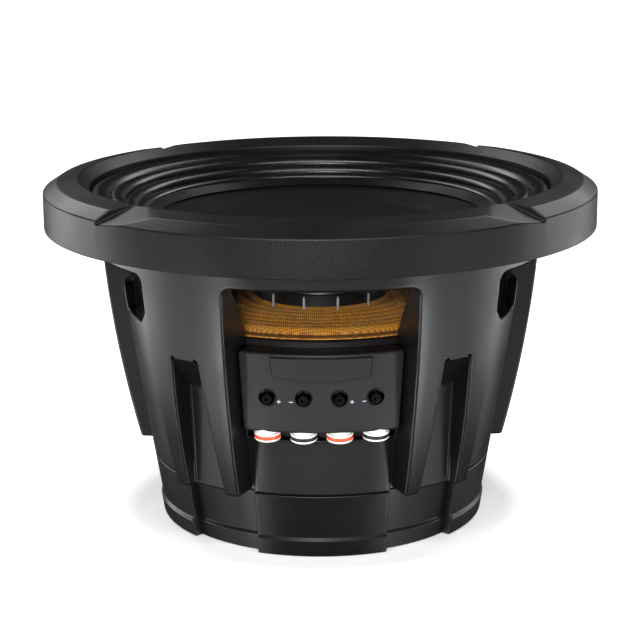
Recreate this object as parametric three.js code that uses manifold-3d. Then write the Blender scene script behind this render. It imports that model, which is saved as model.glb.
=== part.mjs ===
// A 200 mm class car subwoofer driver, standing on its motor with the cone facing up.
//
// Millimetres, +Z up. The origin is the centre of the motor boot's underside, the
// front (the side with the wire terminals) faces -Y, and the voice coil moves along Z.
// Azimuths are in degrees, measured about Z from the front, positive towards +X.

import * as THREE from 'three';
import { mergeVertices } from 'three/addons/utils/BufferGeometryUtils.js';
import Module from 'manifold-3d';

const wasm = await Module();
wasm.setup();

// ---------------------------------------------------------------- driving sizes

const GAP = 0.3;

const RIM_R = 112;
const RIM_HEIGHT = 140.4;
const FLANGE_Z = 120.7;
const FLANGE_R = 106;
const FLANGE_THICK = 4.7;
const FLANGE_BORE_R = 89.8;
const FLANGE_HOLES = 8;
const FLANGE_HOLE_R = 2.6;
const FLANGE_HOLE_PITCH_R = 98;

const ARMS = 5;
const FOOT_Z = 25.8;
const WINDOW_TOP_Z = 111.2;
const WINDOW_HALF_TOP = 23.6;
const WINDOW_HALF_FOOT = 24.5;
const WINDOW_CORNER_R = 3.7;
const POCKET_TOP_Z = 81;
const POCKET_SLOPE_Z = 68.5;
const POCKET_HALF_TOP = 4;
const POCKET_HALF_FOOT = 6.8;

const PANEL_HALF = 22.3;
const PANEL_STEP = 3.4;
const PANEL_TOP_Z = 96;
const DRUM_WALL = 4;
const LEDGE_Z = 84;
const PLATFORM_Z = 60.6;
const PLATFORM_THICK = 4;

const BOOT_TOP_Z = 25.5;
const BOOT_LIP_Z = 6.8;
const BOOT_LIP = 0.6;
const BOOT_CAVITY_R = 59;

const MAGNET_R = 58;
const MAGNET_BORE_R = 31;
const BACK_PLATE_Z = 2.3;
const BACK_PLATE_THICK = 8;
const MAGNET_THICK = 19.6;
const TOP_PLATE_Z = 50.3;
const TOP_PLATE_THICK = 10;
const POLE_R = 23.9;
const GAP_R = 27.4;
const VENT_R = 9;

const FORMER_R = 24.6;
const FORMER_WALL = 0.4;
const FORMER_FOOT_Z = 40;
const COIL_R = 26.4;
const COIL_Z = 43.5;
const COIL_LENGTH = 11.6;
const COLLAR_R = 26.8;
const COLLAR_Z = 89.6;
const COLLAR_HEIGHT = 5.8;
const NECK_Z = 96;
const CONE_EDGE_R = 69.5;
const CONE_EDGE_Z = 124.2;
const CONE_WALL = 1;
const CAP_R = 55;
const CAP_Z = 117.8;
const CAP_CENTRE_Z = 109;
const SPIDER_R = 67.6;
const SPIDER_Z = 87.2;

const BLOCK_HALF_TOP = 32;
const BLOCK_HALF_FOOT = 29.4;
const BLOCK_FOOT_Z = 53;
const BLOCK_TOP_Z = 85;
const BLOCK_BACK_R = 65.4;
const BLOCK_LEAN = 5.3;
const TERMINAL_PITCH = 13.8;
const TERMINAL_DEPTH = 5.6;
const SCREW_Z = 67;
const WIRE_R = 3;

const TINSEL_X = [-19, -6.7, 6.7, 19];

const FINE = 50;
const COARSE = 30;
const SMALL = 10;

// ---------------------------------------------------------------- finishes

const finish = (color, roughness, metalness = 0) =>
  new THREE.MeshStandardMaterial({ color, roughness, metalness });

const BLACK_FRAME = finish('#26262a', 0.42);
const TRIM_RUBBER = finish('#3c3c3f', 0.62);
const BOOT_RUBBER = finish('#2a2a2d', 0.5);
const BLOCK_PLASTIC = finish('#3b3a3d', 0.55);
const SURROUND_RUBBER = finish('#232327', 0.5);
const CONE_PULP = finish('#2b2b2b', 0.75);
const SPIDER_CLOTH = finish('#c8963c', 0.85);
const STEEL = finish('#a9abae', 0.3, 1);
const ZINC = finish('#b9bbbd', 0.35, 1);
const FERRITE = finish('#3a3b3d', 0.6);
const ALUMINIUM = finish('#c7c9cb', 0.35, 1);
const BRASS = finish('#c9a24b', 0.3, 1);
const COPPER = finish('#b4703c', 0.35, 1);
const SILVER_BRAID = finish('#d9d9d6', 0.4, 1);
const WHITE_PLASTIC = finish('#e9e6e1', 0.5);
const RED_PLASTIC = finish('#e8481c', 0.5);
const BLACK_PLASTIC = finish('#1d1c1c', 0.5);

// ---------------------------------------------------------------- solids

const rad = THREE.MathUtils.degToRad;

// One welded, outward-facing closed mesh: coincident vertices shared, slivers dropped.
function weld(geometry) {
  geometry.deleteAttribute('normal');
  geometry.deleteAttribute('uv');
  const merged = mergeVertices(geometry, 1e-4);
  const corners = merged.index.array;
  const points = merged.attributes.position;
  const kept = [];
  const a = new THREE.Vector3();
  const b = new THREE.Vector3();
  const c = new THREE.Vector3();
  let volume = 0;
  for (let i = 0; i < corners.length; i += 3) {
    const [p, q, r] = [corners[i], corners[i + 1], corners[i + 2]];
    if (p !== q && q !== r && r !== p) {
      kept.push(p, q, r);
      a.fromBufferAttribute(points, p);
      b.fromBufferAttribute(points, q);
      c.fromBufferAttribute(points, r);
      volume += a.dot(b.cross(c)) / 6;
    }
  }
  merged.setIndex(volume < 0 ? kept.reverse() : kept);
  return merged;
}

// The solid of a welded geometry, for cutting and joining.
function solid(geometry) {
  return new wasm.Manifold(new wasm.Mesh({
    numProp: 3,
    vertProperties: new Float32Array(geometry.attributes.position.array),
    triVerts: new Uint32Array(geometry.index.array),
  }));
}

// A solid back as a geometry.
function surface(body) {
  const mesh = body.getMesh();
  const geometry = new THREE.BufferGeometry();
  geometry.setAttribute('position', new THREE.BufferAttribute(mesh.vertProperties, 3));
  geometry.setIndex(new THREE.BufferAttribute(mesh.triVerts, 1));
  return geometry;
}

// A closed [radius, z] outline turned about Z. An outline that starts on the axis ends on it.
function revolve(outline, segments = COARSE) {
  const points = outline.map(([r, z]) => new THREE.Vector2(r, z));
  if (outline[0][0] > 0) {
    points.push(points[0].clone());
  }
  return weld(new THREE.LatheGeometry(points, segments).rotateX(Math.PI / 2));
}

// A flat ring between two radii and two heights.
function ring(innerR, outerR, lowZ, highZ, segments = COARSE) {
  return revolve([[innerR, lowZ], [outerR, lowZ], [outerR, highZ], [innerR, highZ]], segments);
}

// A plain disc or rod standing on Z.
function rod(radius, lowZ, highZ, segments = SMALL) {
  return revolve([[0, lowZ], [radius, lowZ], [radius, highZ], [0, highZ]], segments);
}

function shapeOf(points) {
  return new THREE.Shape(points.map(([x, y]) => new THREE.Vector2(x, y)));
}

// A front-view outline (x, z) pushed from the plane y = -near out to y = -far.
function frontPrism(shape, near, far) {
  const geometry = new THREE.ExtrudeGeometry(shape, {
    depth: far - near,
    bevelEnabled: false,
    curveSegments: 3,
  });
  return weld(geometry.translate(0, 0, near).rotateX(Math.PI / 2));
}

// The same, with its width growing in step with the distance from Z, so that its sides
// are planes through the Z axis. The outline's x is what it measures at REACH.
const REACH = 100;
const NEAR = 30;
const FAR = 150;

function radialPrism(shape) {
  const geometry = new THREE.ExtrudeGeometry(shape, {
    depth: FAR - NEAR,
    bevelEnabled: false,
    curveSegments: 3,
  });
  geometry.translate(0, 0, NEAR);
  const position = geometry.attributes.position;
  for (let i = 0; i < position.count; i += 1) {
    position.setX(i, position.getX(i) * position.getZ(i) / REACH);
  }
  return weld(geometry.rotateX(Math.PI / 2));
}

const reach = (degrees) => REACH * Math.tan(rad(degrees));

// The same geometry at another azimuth.
const turned = (geometry, degrees) => geometry.clone().rotateZ(rad(degrees));

// Everything within an angle of the front, between two heights.
function wedge(halfAngle, lowZ, highZ) {
  const x = reach(halfAngle);
  return radialPrism(shapeOf([[-x, lowZ], [x, lowZ], [x, highZ], [-x, highZ]]));
}

// Azimuths of the windows and, halfway between them, of the arms.
const windowAzimuths = Array.from({ length: ARMS }, (_, n) => n * 360 / ARMS);
const armAzimuths = windowAzimuths.map((azimuth) => azimuth + 180 / ARMS);

// ---------------------------------------------------------------- shared outlines

const skinRadius = (z) => 69.5 + 0.3263 * z - 0.001162 * z * z;
const panelRadius = (z) => 65.85 + 0.157 * z;
const recessRadius = (z) => panelRadius(z) - PANEL_STEP;
const webRadius = (z) => 69.63 + 0.115 * z;
const blockRadius = (z) => 76 + (z - BLOCK_FOOT_Z) * 3 / (BLOCK_TOP_Z - BLOCK_FOOT_Z);

// [radius, z] points along a skin, from one height to another.
function along(radiusAt, fromZ, toZ, steps) {
  return Array.from({ length: steps + 1 }, (_, n) => {
    const z = fromZ + (toZ - fromZ) * n / steps;
    return [radiusAt(z), z];
  });
}

// ---------------------------------------------------------------- basket

// The tall opening between two arms, with rounded upper corners.
function windowCutter() {
  const top = reach(WINDOW_HALF_TOP);
  const foot = reach(WINDOW_HALF_FOOT);
  const footZ = FOOT_Z - 3;
  const shape = new THREE.Shape();
  shape.moveTo(-foot, footZ);
  shape.lineTo(foot, footZ);
  shape.lineTo(top, WINDOW_TOP_Z - WINDOW_CORNER_R);
  shape.quadraticCurveTo(top, WINDOW_TOP_Z, top - WINDOW_CORNER_R, WINDOW_TOP_Z);
  shape.lineTo(WINDOW_CORNER_R - top, WINDOW_TOP_Z);
  shape.quadraticCurveTo(-top, WINDOW_TOP_Z, -top, WINDOW_TOP_Z - WINDOW_CORNER_R);
  return radialPrism(shape);
}

// The hollow up the outside of each arm, which leaves it standing on two tapered legs.
function pocketCutter() {
  const footZ = FOOT_Z - 3;
  const top = reach(POCKET_HALF_TOP);
  const foot = reach(POCKET_HALF_FOOT);
  const opening = radialPrism(
    shapeOf([[-foot, footZ], [foot, footZ], [top, POCKET_TOP_Z], [-top, POCKET_TOP_Z]]),
  );
  const depth = revolve([
    [webRadius(footZ), footZ],
    [FAR - 20, footZ],
    [FAR - 20, POCKET_TOP_Z],
    [skinRadius(POCKET_TOP_Z), POCKET_TOP_Z],
    [webRadius(POCKET_SLOPE_Z), POCKET_SLOPE_Z],
  ], FINE);
  return solid(opening).intersect(solid(depth));
}

// The basket is cast in one piece. It is drawn as a flange with the band under it, five
// arms and a drum, which meet with a hair's gap.

// Where the band's inside narrows towards the arms, as [radius, z].
const BAND_INNER = [86.5, WINDOW_TOP_Z + 2];
const ARM_INNER = [80, 106];
const ARM_FOOT_INNER_R = 70.6;
const ARM_FOOT_INNER_Z = 89.6;
const SEAM_Z = WINDOW_TOP_Z;

// The inner radius at the seam between the band and the arms.
const SEAM_INNER_R = THREE.MathUtils.mapLinear(
  SEAM_Z, ARM_INNER[1], BAND_INNER[1], ARM_INNER[0], BAND_INNER[0],
);

const MOTOR_SCREW_R = 50;
const LEDGE_SCREW_R = 66;
const LEDGE_SCREW_AZIMUTHS = [-14, 14];
const SCREW_CLEARANCE_R = 2.9;
const LEDGE_HOLE_R = 1.8;

const polar = (radius, degrees) => [
  radius * Math.sin(rad(degrees)),
  -radius * Math.cos(rad(degrees)),
];

function holeAt(radius, degrees, holeR, lowZ, highZ, segments = 8) {
  const [x, y] = polar(radius, degrees);
  return solid(rod(holeR, lowZ, highZ, segments).translate(x, y, 0));
}

// The flange that is screwed to the box, with the band that carries it.
function basketFlange() {
  const top = FLANGE_Z + FLANGE_THICK;
  let body = solid(revolve([
    ...along(skinRadius, SEAM_Z + GAP, FLANGE_Z, 2),
    [FLANGE_R, FLANGE_Z],
    [FLANGE_R, top],
    [FLANGE_BORE_R, top],
    BAND_INNER,
    [SEAM_INNER_R, SEAM_Z + GAP],
  ], FINE));
  for (let n = 0; n < FLANGE_HOLES; n += 1) {
    const azimuth = (n + 0.5) * 360 / FLANGE_HOLES;
    const hole = holeAt(FLANGE_HOLE_PITCH_R, azimuth, FLANGE_HOLE_R, FLANGE_Z - 1, top + 1);
    body = body.subtract(hole);
  }
  return surface(body);
}

// One arm, modelled at the front: a wide post that widens into the band above it.
function basketArm() {
  const shell = solid(revolve([
    ...along(skinRadius, FOOT_Z, SEAM_Z, 4),
    [SEAM_INNER_R, SEAM_Z],
    ARM_INNER,
    [ARM_FOOT_INNER_R, ARM_FOOT_INNER_Z],
    [ARM_FOOT_INNER_R, LEDGE_Z + GAP],
    [recessRadius(LEDGE_Z) + GAP, LEDGE_Z + GAP],
    [recessRadius(FOOT_Z) + GAP, FOOT_Z],
  ], FINE));
  const halfPitch = 180 / ARMS;
  const window = windowCutter();
  return surface(shell
    .intersect(solid(wedge(halfPitch / 2, FOOT_Z - 1, WINDOW_TOP_Z + 1)))
    .subtract(solid(turned(window, halfPitch)))
    .subtract(solid(turned(window, -halfPitch)))
    .subtract(pocketCutter()));
}

const DRUM_BORE_R = 62.5;
const PLATFORM_BORE_R = 40;

// Inner drum: a wall round the motor, the platform bolted to it and the spider's ledge.
function drumWall() {
  const inner = (z) => recessRadius(z) - DRUM_WALL;
  return solid(revolve([
    [recessRadius(FOOT_Z), FOOT_Z],
    [recessRadius(LEDGE_Z), LEDGE_Z],
    [DRUM_BORE_R, LEDGE_Z],
    [DRUM_BORE_R, LEDGE_Z - 3],
    [inner(LEDGE_Z - 7), LEDGE_Z - 7],
    [inner(PLATFORM_Z), PLATFORM_Z + PLATFORM_THICK],
    [PLATFORM_BORE_R, PLATFORM_Z + PLATFORM_THICK],
    [PLATFORM_BORE_R, PLATFORM_Z],
    [inner(PLATFORM_Z), PLATFORM_Z],
    [inner(FOOT_Z), FOOT_Z],
  ], FINE));
}

const PANEL_THICK = 3.9;
const DIP_HALF = 17;
const DIP_FLAT_HALF = 7;
const DIP_DEPTH = 9;

// A raised panel that fills the foot of a side window, with a rounded dip in its top edge.
function sidePanel() {
  const skin = solid(revolve([
    [panelRadius(FOOT_Z), FOOT_Z],
    [panelRadius(PANEL_TOP_Z), PANEL_TOP_Z],
    [panelRadius(PANEL_TOP_Z) - PANEL_THICK, PANEL_TOP_Z],
    [panelRadius(FOOT_Z) - PANEL_THICK, FOOT_Z],
  ], FINE));
  const dip = new THREE.Shape();
  const shoulder = reach((DIP_HALF + DIP_FLAT_HALF) / 2 + 2);
  const floorZ = PANEL_TOP_Z - DIP_DEPTH;
  dip.moveTo(-reach(DIP_HALF), PANEL_TOP_Z + 1);
  dip.quadraticCurveTo(-shoulder, floorZ + 1, -reach(DIP_FLAT_HALF), floorZ);
  dip.lineTo(reach(DIP_FLAT_HALF), floorZ);
  dip.quadraticCurveTo(shoulder, floorZ + 1, reach(DIP_HALF), PANEL_TOP_Z + 1);
  return skin
    .intersect(solid(wedge(PANEL_HALF, FOOT_Z - 1, PANEL_TOP_Z + 1)))
    .subtract(solid(radialPrism(dip)));
}

const FRONT_PANEL_R = 69.8;
const SLOT_Z = BLOCK_FOOT_Z - 4.5;

// The lower panel under the terminals, which stands upright.
function frontPanel() {
  return solid(ring(FRONT_PANEL_R - 5, FRONT_PANEL_R, FOOT_Z, SLOT_Z, FINE))
    .intersect(solid(wedge(PANEL_HALF, FOOT_Z - 1, LEDGE_Z)));
}

const OPENING_HALF = 23.9;
const OPENING_INNER_R = 61;
const LEDGE_FRONT_R = 69.3;

// The drum's own opening in the front window, where the terminal block sits.
function terminalOpening() {
  const side = reach(OPENING_HALF);
  const bay = solid(radialPrism(
    shapeOf([[-side, SLOT_Z], [side, SLOT_Z], [side, WINDOW_TOP_Z], [-side, WINDOW_TOP_Z]]),
  ));
  const outside = solid(revolve([
    [OPENING_INNER_R, SLOT_Z - 1],
    [REACH, SLOT_Z - 1],
    [REACH, LEDGE_Z + 1],
    [LEDGE_FRONT_R, LEDGE_Z + 1],
    [LEDGE_FRONT_R, LEDGE_Z - 3],
    [OPENING_INNER_R, LEDGE_Z - 3.2],
  ], FINE));
  return bay.intersect(outside);
}

function basketDrum() {
  let body = drumWall().subtract(terminalOpening()).add(frontPanel());
  const panel = sidePanel();
  windowAzimuths.slice(1).forEach((azimuth) => {
    body = body.add(solid(turned(surface(panel), azimuth)));
  });
  armAzimuths.forEach((azimuth) => {
    const top = PLATFORM_Z + PLATFORM_THICK + 1;
    body = body.subtract(
      holeAt(MOTOR_SCREW_R, azimuth, SCREW_CLEARANCE_R, PLATFORM_Z - 1, top),
    );
  });
  LEDGE_SCREW_AZIMUTHS.forEach((azimuth) => {
    const hole = holeAt(LEDGE_SCREW_R, azimuth, LEDGE_HOLE_R, LEDGE_Z - 4, LEDGE_Z + 1);
    body = body.subtract(hole);
  });
  return surface(body);
}

// ---------------------------------------------------------------- trim ring

// A one-sided notch: an upright wall on one side, and a floor that ramps back up to the rim.
const NOTCH_WALL = new THREE.Vector2(-79, -72.6);
const NOTCH_WALL_ANGLE = 28;
const NOTCH_FLOOR_Z = 135.6;
const NOTCH_RISE_X = 0.36;
const NOTCH_RISE_Y = 0.14;
const NOTCH_OUTWARD = 14;
const NOTCH_INWARD = 15;
const NOTCH_RAMP_END = new THREE.Vector2(-56, -96);
const NOTCH_CUT_HEIGHT = 12;

const TRIM_BORE_R = 93.3;
const TRIM_LAND_R = 97.5;
const TRIM_SHOULDER_R = 108.8;
const TRIM_SHOULDER_Z = 137.7;
const TRIM_SIDE_TOP_Z = 134.9;
const TRIM_LIP_Z = 136.6;
// The surround's rim is clamped in this height between the flange and the trim.
const CLAMP_SPACE = 1.2;

function notchCutter(side, end) {
  const wallWay = new THREE.Vector2(
    Math.cos(rad(NOTCH_WALL_ANGLE)),
    Math.sin(rad(NOTCH_WALL_ANGLE)),
  );
  const outer = NOTCH_WALL.clone().addScaledVector(wallWay, -NOTCH_OUTWARD);
  const inner = NOTCH_WALL.clone().addScaledVector(wallWay, NOTCH_INWARD);
  const geometry = new THREE.ExtrudeGeometry(
    new THREE.Shape([outer, inner, NOTCH_RAMP_END]),
    { depth: NOTCH_CUT_HEIGHT, bevelEnabled: false },
  );
  const position = geometry.attributes.position;
  for (let i = 0; i < position.count; i += 1) {
    const x = position.getX(i) - NOTCH_WALL.x;
    const y = position.getY(i) - NOTCH_WALL.y;
    const z = position.getZ(i);
    position.setZ(i, z + NOTCH_FLOOR_Z + NOTCH_RISE_X * x + NOTCH_RISE_Y * y);
  }
  return solid(weld(geometry.scale(side, end, 1)));
}

function trimRing() {
  const clampZ = FLANGE_Z + FLANGE_THICK + 2 * GAP + CLAMP_SPACE;
  let body = solid(revolve([
    [RIM_R, FLANGE_Z],
    [RIM_R, TRIM_SIDE_TOP_Z],
    [RIM_R - 0.5, TRIM_SIDE_TOP_Z + 0.9],
    [TRIM_SHOULDER_R, TRIM_SHOULDER_Z],
    [TRIM_LAND_R, RIM_HEIGHT],
    [TRIM_BORE_R, TRIM_LIP_Z],
    [TRIM_BORE_R, clampZ],
    [FLANGE_R + GAP, clampZ],
    [FLANGE_R + GAP, FLANGE_Z],
  ], FINE));
  [[1, 1], [-1, 1], [1, -1], [-1, -1]].forEach(([side, end]) => {
    body = body.subtract(notchCutter(side, end));
  });
  return surface(body);
}

// ---------------------------------------------------------------- motor

const BOOT_FLOOR = 2;
const BOOT_PORT_R = 30;
const BOOT_EDGE = 1;

// The rubber cup round the magnets. Five raised panels carry on those of the basket.
function motorBoot() {
  const skin = (extra) => solid(revolve([
    [0, 0],
    [recessRadius(0) + extra + BOOT_LIP - BOOT_EDGE, 0],
    [recessRadius(BOOT_EDGE) + extra + BOOT_LIP, BOOT_EDGE],
    [recessRadius(BOOT_LIP_Z) + extra + BOOT_LIP, BOOT_LIP_Z],
    [recessRadius(BOOT_LIP_Z) + extra, BOOT_LIP_Z + 0.5],
    [recessRadius(BOOT_TOP_Z) + extra, BOOT_TOP_Z],
    [0, BOOT_TOP_Z],
  ], FINE));
  const raised = surface(skin(PANEL_STEP).intersect(solid(wedge(PANEL_HALF, -1, BOOT_TOP_Z + 1))));
  let body = skin(0);
  windowAzimuths.forEach((azimuth) => {
    body = body.add(solid(turned(raised, azimuth)));
  });
  const cavity = solid(rod(BOOT_CAVITY_R, BOOT_FLOOR, BOOT_TOP_Z + 1, FINE));
  const port = solid(rod(BOOT_PORT_R, -1, BOOT_FLOOR + 1, COARSE));
  return surface(body.subtract(cavity).subtract(port));
}

const YOKE_EDGE = 2;
const VENT_FLARE = 3;
const SCREEN_SEAT_R = VENT_R + 3.5;
const TAPPED_R = 2.6;
const TAPPED_DEPTH = 8;

// Back plate and vented pole in one, with a seat for the vent screen.
function yoke() {
  const top = TOP_PLATE_Z + TOP_PLATE_THICK;
  return revolve([
    [SCREEN_SEAT_R, BACK_PLATE_Z],
    [MAGNET_R - YOKE_EDGE, BACK_PLATE_Z],
    [MAGNET_R, BACK_PLATE_Z + YOKE_EDGE],
    [MAGNET_R, BACK_PLATE_Z + BACK_PLATE_THICK],
    [POLE_R, BACK_PLATE_Z + BACK_PLATE_THICK],
    [POLE_R, top],
    [VENT_R + VENT_FLARE - 1, top],
    [VENT_R, top - VENT_FLARE],
    [VENT_R, BACK_PLATE_Z + 2],
    [SCREEN_SEAT_R, BACK_PLATE_Z + 2],
  ]);
}

function topPlate() {
  let body = solid(ring(GAP_R, MAGNET_R - 1, TOP_PLATE_Z, TOP_PLATE_Z + TOP_PLATE_THICK));
  armAzimuths.forEach((azimuth) => {
    const top = TOP_PLATE_Z + TOP_PLATE_THICK;
    const hole = holeAt(MOTOR_SCREW_R, azimuth, TAPPED_R, top - TAPPED_DEPTH, top + 1);
    body = body.subtract(hole);
  });
  return surface(body);
}

// A socket head screw standing on Z, with its head's underside at z = 0.
function capScrew(shankR, shankLength, headR, headHeight, socketR) {
  return revolve([
    [0, -shankLength],
    [shankR, -shankLength],
    [shankR, 0],
    [headR, 0],
    [headR, headHeight],
    [socketR, headHeight],
    [socketR, headHeight / 2],
    [0, headHeight / 2],
  ], SMALL);
}

// ---------------------------------------------------------------- moving assembly

// A shallow cone, which the wide dust cap all but covers.
function cone() {
  const neckR = FORMER_R + FORMER_WALL + GAP;
  const middle = [40, 105.6];
  return revolve([
    [neckR, NECK_Z],
    middle,
    [CAP_R, CAP_Z - 2.3],
    [CONE_EDGE_R, CONE_EDGE_Z - CONE_WALL],
    [CONE_EDGE_R, CONE_EDGE_Z],
    [CAP_R + 2, CAP_Z],
    [CAP_R, CAP_Z - 1.2],
    [middle[0] - 1, middle[1] + CONE_WALL],
    [neckR, NECK_Z + 1.2],
  ]);
}

// The dish of the cap, thinned from its [radius, rise] points.
function dustCap() {
  const wall = 0.8;
  const edgeR = CAP_R - 0.4;
  const dish = [[0, 0], [22, 1.2], [42, 4.4]];
  const under = dish.map(([r, rise]) => [r, CAP_CENTRE_Z + rise]);
  const over = dish.map(([r, rise]) => [r, CAP_CENTRE_Z + rise + wall]).reverse();
  return revolve([...under, [edgeR, CAP_Z - 0.6], [edgeR, CAP_Z + 0.3], ...over]);
}

// Rolls of the surround, from the flange in to the cone's edge, as one sheet's mid line.
function surround() {
  const sheet = [
    [104, 126.4],
    [91.4, 126.4],
    [90, 133],
    [88, 134.9],
    [85, 132.1],
    [82, 133.2],
    [79, 129.9],
    [76.8, 130.3],
    [74, 126.8],
    [72.4, 127],
    [70.6, 125.2],
  ];
  const half = 0.5;
  const under = sheet.map(([r, z]) => [r, z - half]);
  const over = sheet.map(([r, z]) => [r, z + half]).reverse();
  return revolve([...under, ...over]);
}

// Corrugations of the spider between its clamped rim and the former.
function spider() {
  const innerR = FORMER_R + FORMER_WALL + 0.25;
  const rolls = 3;
  const flatR = 60;
  const rise = 3;
  const half = 0.35;
  const mid = [[innerR, SPIDER_Z + 1], [innerR + 2, SPIDER_Z + 1]];
  for (let n = 0; n < 2 * rolls; n += 1) {
    const r = innerR + 3.5 + (flatR - innerR - 3.5) * n / (2 * rolls - 1);
    mid.push([r, SPIDER_Z + (n % 2 === 0 ? rise : 0)]);
  }
  mid.push([flatR + 2.5, SPIDER_Z + 0.65], [SPIDER_R, SPIDER_Z + 0.65]);
  const under = mid.map(([r, z]) => [r, z - half]);
  const over = mid.map(([r, z]) => [r, z + half]).reverse();
  const slotSize = [3.2, 5, 14];
  let body = solid(revolve([...under, ...over]));
  TINSEL_X.forEach((x) => {
    const slot = new THREE.BoxGeometry(...slotSize);
    body = body.subtract(solid(weld(slot.translate(x, tinselNeckY(x) + 1.4, SPIDER_Z))));
  });
  return surface(body);
}

// ---------------------------------------------------------------- tinsel leads

const TINSEL_NECK_R = FORMER_R + 4.1;
const TINSEL_LUG_Y = -58.6;
const TINSEL_BEND_Y = -52;
const TINSEL_HALF_WIDTH = 1.1;
const TINSEL_HALF_THICK = 0.6;

// Where a lead runs up the former, just outside its wall.
const tinselNeckY = (x) => -Math.sqrt(TINSEL_NECK_R ** 2 - x * x);

// A flat braid from its solder lug on the terminal block, under the spider and up its neck.
function tinselLead(x) {
  const neck = tinselNeckY(x);
  const route = new THREE.CatmullRomCurve3([
    new THREE.Vector3(x, TINSEL_LUG_Y, 77),
    new THREE.Vector3(x, TINSEL_BEND_Y, 78.5),
    new THREE.Vector3(x, (neck + TINSEL_BEND_Y) / 2, 81.5),
    new THREE.Vector3(x, neck - 4, 83),
    new THREE.Vector3(x, neck, 87),
    new THREE.Vector3(x, neck, 91),
    new THREE.Vector3(x, neck, 95),
  ], false, 'centripetal');
  const braid = new THREE.Shape()
    .absellipse(0, 0, TINSEL_HALF_THICK, TINSEL_HALF_WIDTH, 0, 2 * Math.PI);
  const geometry = new THREE.ExtrudeGeometry(braid, {
    steps: 14,
    extrudePath: route,
    curveSegments: 4,
  });
  return weld(geometry);
}

// ---------------------------------------------------------------- terminal block

const terminalXs = [-1.5, -0.5, 0.5, 1.5].map((n) => n * TERMINAL_PITCH);

// Centre of a wire channel at the block's underside, set back from its curved face.
const channelY = (x) => -Math.sqrt(blockRadius(BLOCK_FOOT_Z) ** 2 - x * x) + TERMINAL_DEPTH;

// A geometry modelled on Z, leaned with the block's face and hung at one wire channel.
function atChannel(geometry, x) {
  const placed = geometry.clone().rotateX(rad(BLOCK_LEAN));
  return placed.translate(x, channelY(x), BLOCK_FOOT_Z);
}

// A geometry modelled on Z, laid along Y at the height of the set screws. Its +Z faces -Y.
function atScrew(geometry, x, y) {
  return geometry.clone().rotateX(Math.PI / 2).translate(x, y, SCREW_Z);
}

const channelLeanY = (x) => channelY(x) - (SCREW_Z - BLOCK_FOOT_Z) * Math.tan(rad(BLOCK_LEAN));

const CHANNEL_R = 4.7;
const CHANNEL_MOUTH_R = 5;
const CHANNEL_MOUTH_DEPTH = 5.5;
const CHANNEL_DEPTH = 19.5;
const ACCESS_R = 3.1;
const BLOCK_FRONT_Y = 50;
const BLOCK_BACK_Y = 90;
const BLOCK_FOOT_SIZE = [44, 6, 8.6];
const BLOCK_SCREW_HEAD_R = 3;
const PLATE_HALF = 19.2;
const PLATE_BED = 0.6;
const PLATE_STAND = 0.9;
const PLATE_TOP_Z = BLOCK_TOP_Z - 1.7;
const PLATE_SIDE_FOOT_Z = 76;
const PLATE_BOW_Z = 72.6;
const plateBedR = blockRadius(80) - PLATE_BED;

// The curved block with four wire channels from below and a screw access for each in front.
function terminalBlock() {
  const backTopZ = LEDGE_Z - 3 - 2 * GAP;
  const outline = shapeOf([
    [-BLOCK_HALF_FOOT, BLOCK_FOOT_Z],
    [BLOCK_HALF_FOOT, BLOCK_FOOT_Z],
    [BLOCK_HALF_TOP, BLOCK_TOP_Z],
    [-BLOCK_HALF_TOP, BLOCK_TOP_Z],
  ]);
  const depth = revolve([
    [BLOCK_BACK_R, BLOCK_FOOT_Z],
    [blockRadius(BLOCK_FOOT_Z), BLOCK_FOOT_Z],
    [blockRadius(BLOCK_TOP_Z - 1), BLOCK_TOP_Z - 1],
    [blockRadius(BLOCK_TOP_Z) - 1.2, BLOCK_TOP_Z],
    [FRONT_PANEL_R, BLOCK_TOP_Z],
    [FRONT_PANEL_R, backTopZ],
    [BLOCK_BACK_R, backTopZ],
  ], FINE);
  const foot = new THREE.BoxGeometry(...BLOCK_FOOT_SIZE).translate(0, -62.4, LEDGE_Z - 8);
  let body = solid(frontPrism(outline, BLOCK_FRONT_Y, BLOCK_BACK_Y))
    .intersect(solid(depth))
    .intersect(solid(wedge(23.2, 0, REACH)))
    .add(solid(weld(foot)));
  terminalXs.forEach((x) => {
    const channel = revolve([
      [0, -2],
      [CHANNEL_MOUTH_R, -2],
      [CHANNEL_MOUTH_R, CHANNEL_MOUTH_DEPTH],
      [CHANNEL_R, CHANNEL_MOUTH_DEPTH],
      [CHANNEL_R, CHANNEL_DEPTH],
      [0, CHANNEL_DEPTH],
    ], SMALL);
    const access = rod(ACCESS_R, 0, 20);
    body = body.subtract(solid(atChannel(channel, x)));
    body = body.subtract(solid(atScrew(access, x, channelLeanY(x))));
  });
  LEDGE_SCREW_AZIMUTHS.forEach((azimuth) => {
    const shank = holeAt(LEDGE_SCREW_R, azimuth, LEDGE_HOLE_R, LEDGE_Z - 13, LEDGE_Z);
    const head = holeAt(
      LEDGE_SCREW_R, azimuth, BLOCK_SCREW_HEAD_R + 0.4, LEDGE_Z - 15, LEDGE_Z - 9,
    );
    body = body.subtract(shank).subtract(head);
  });
  const bed = solid(ring(plateBedR, BLOCK_BACK_Y, PLATE_BOW_Z + 1.2, PLATE_TOP_Z + GAP, FINE));
  const cut = solid(frontPrism(plateOutline(GAP), BLOCK_FRONT_Y, BLOCK_BACK_Y));
  return surface(body.subtract(bed.intersect(cut)));
}

// The blank plate across the top of the block, with a bowed lower edge.
function plateOutline(margin) {
  const half = PLATE_HALF + margin;
  const footZ = PLATE_SIDE_FOOT_Z - margin;
  const shape = new THREE.Shape();
  shape.moveTo(-half, PLATE_TOP_Z + margin);
  shape.lineTo(-half + 1, footZ);
  shape.quadraticCurveTo(0, PLATE_BOW_Z - 2 * margin, half - 1, footZ);
  shape.lineTo(half, PLATE_TOP_Z + margin);
  return shape;
}

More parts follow.
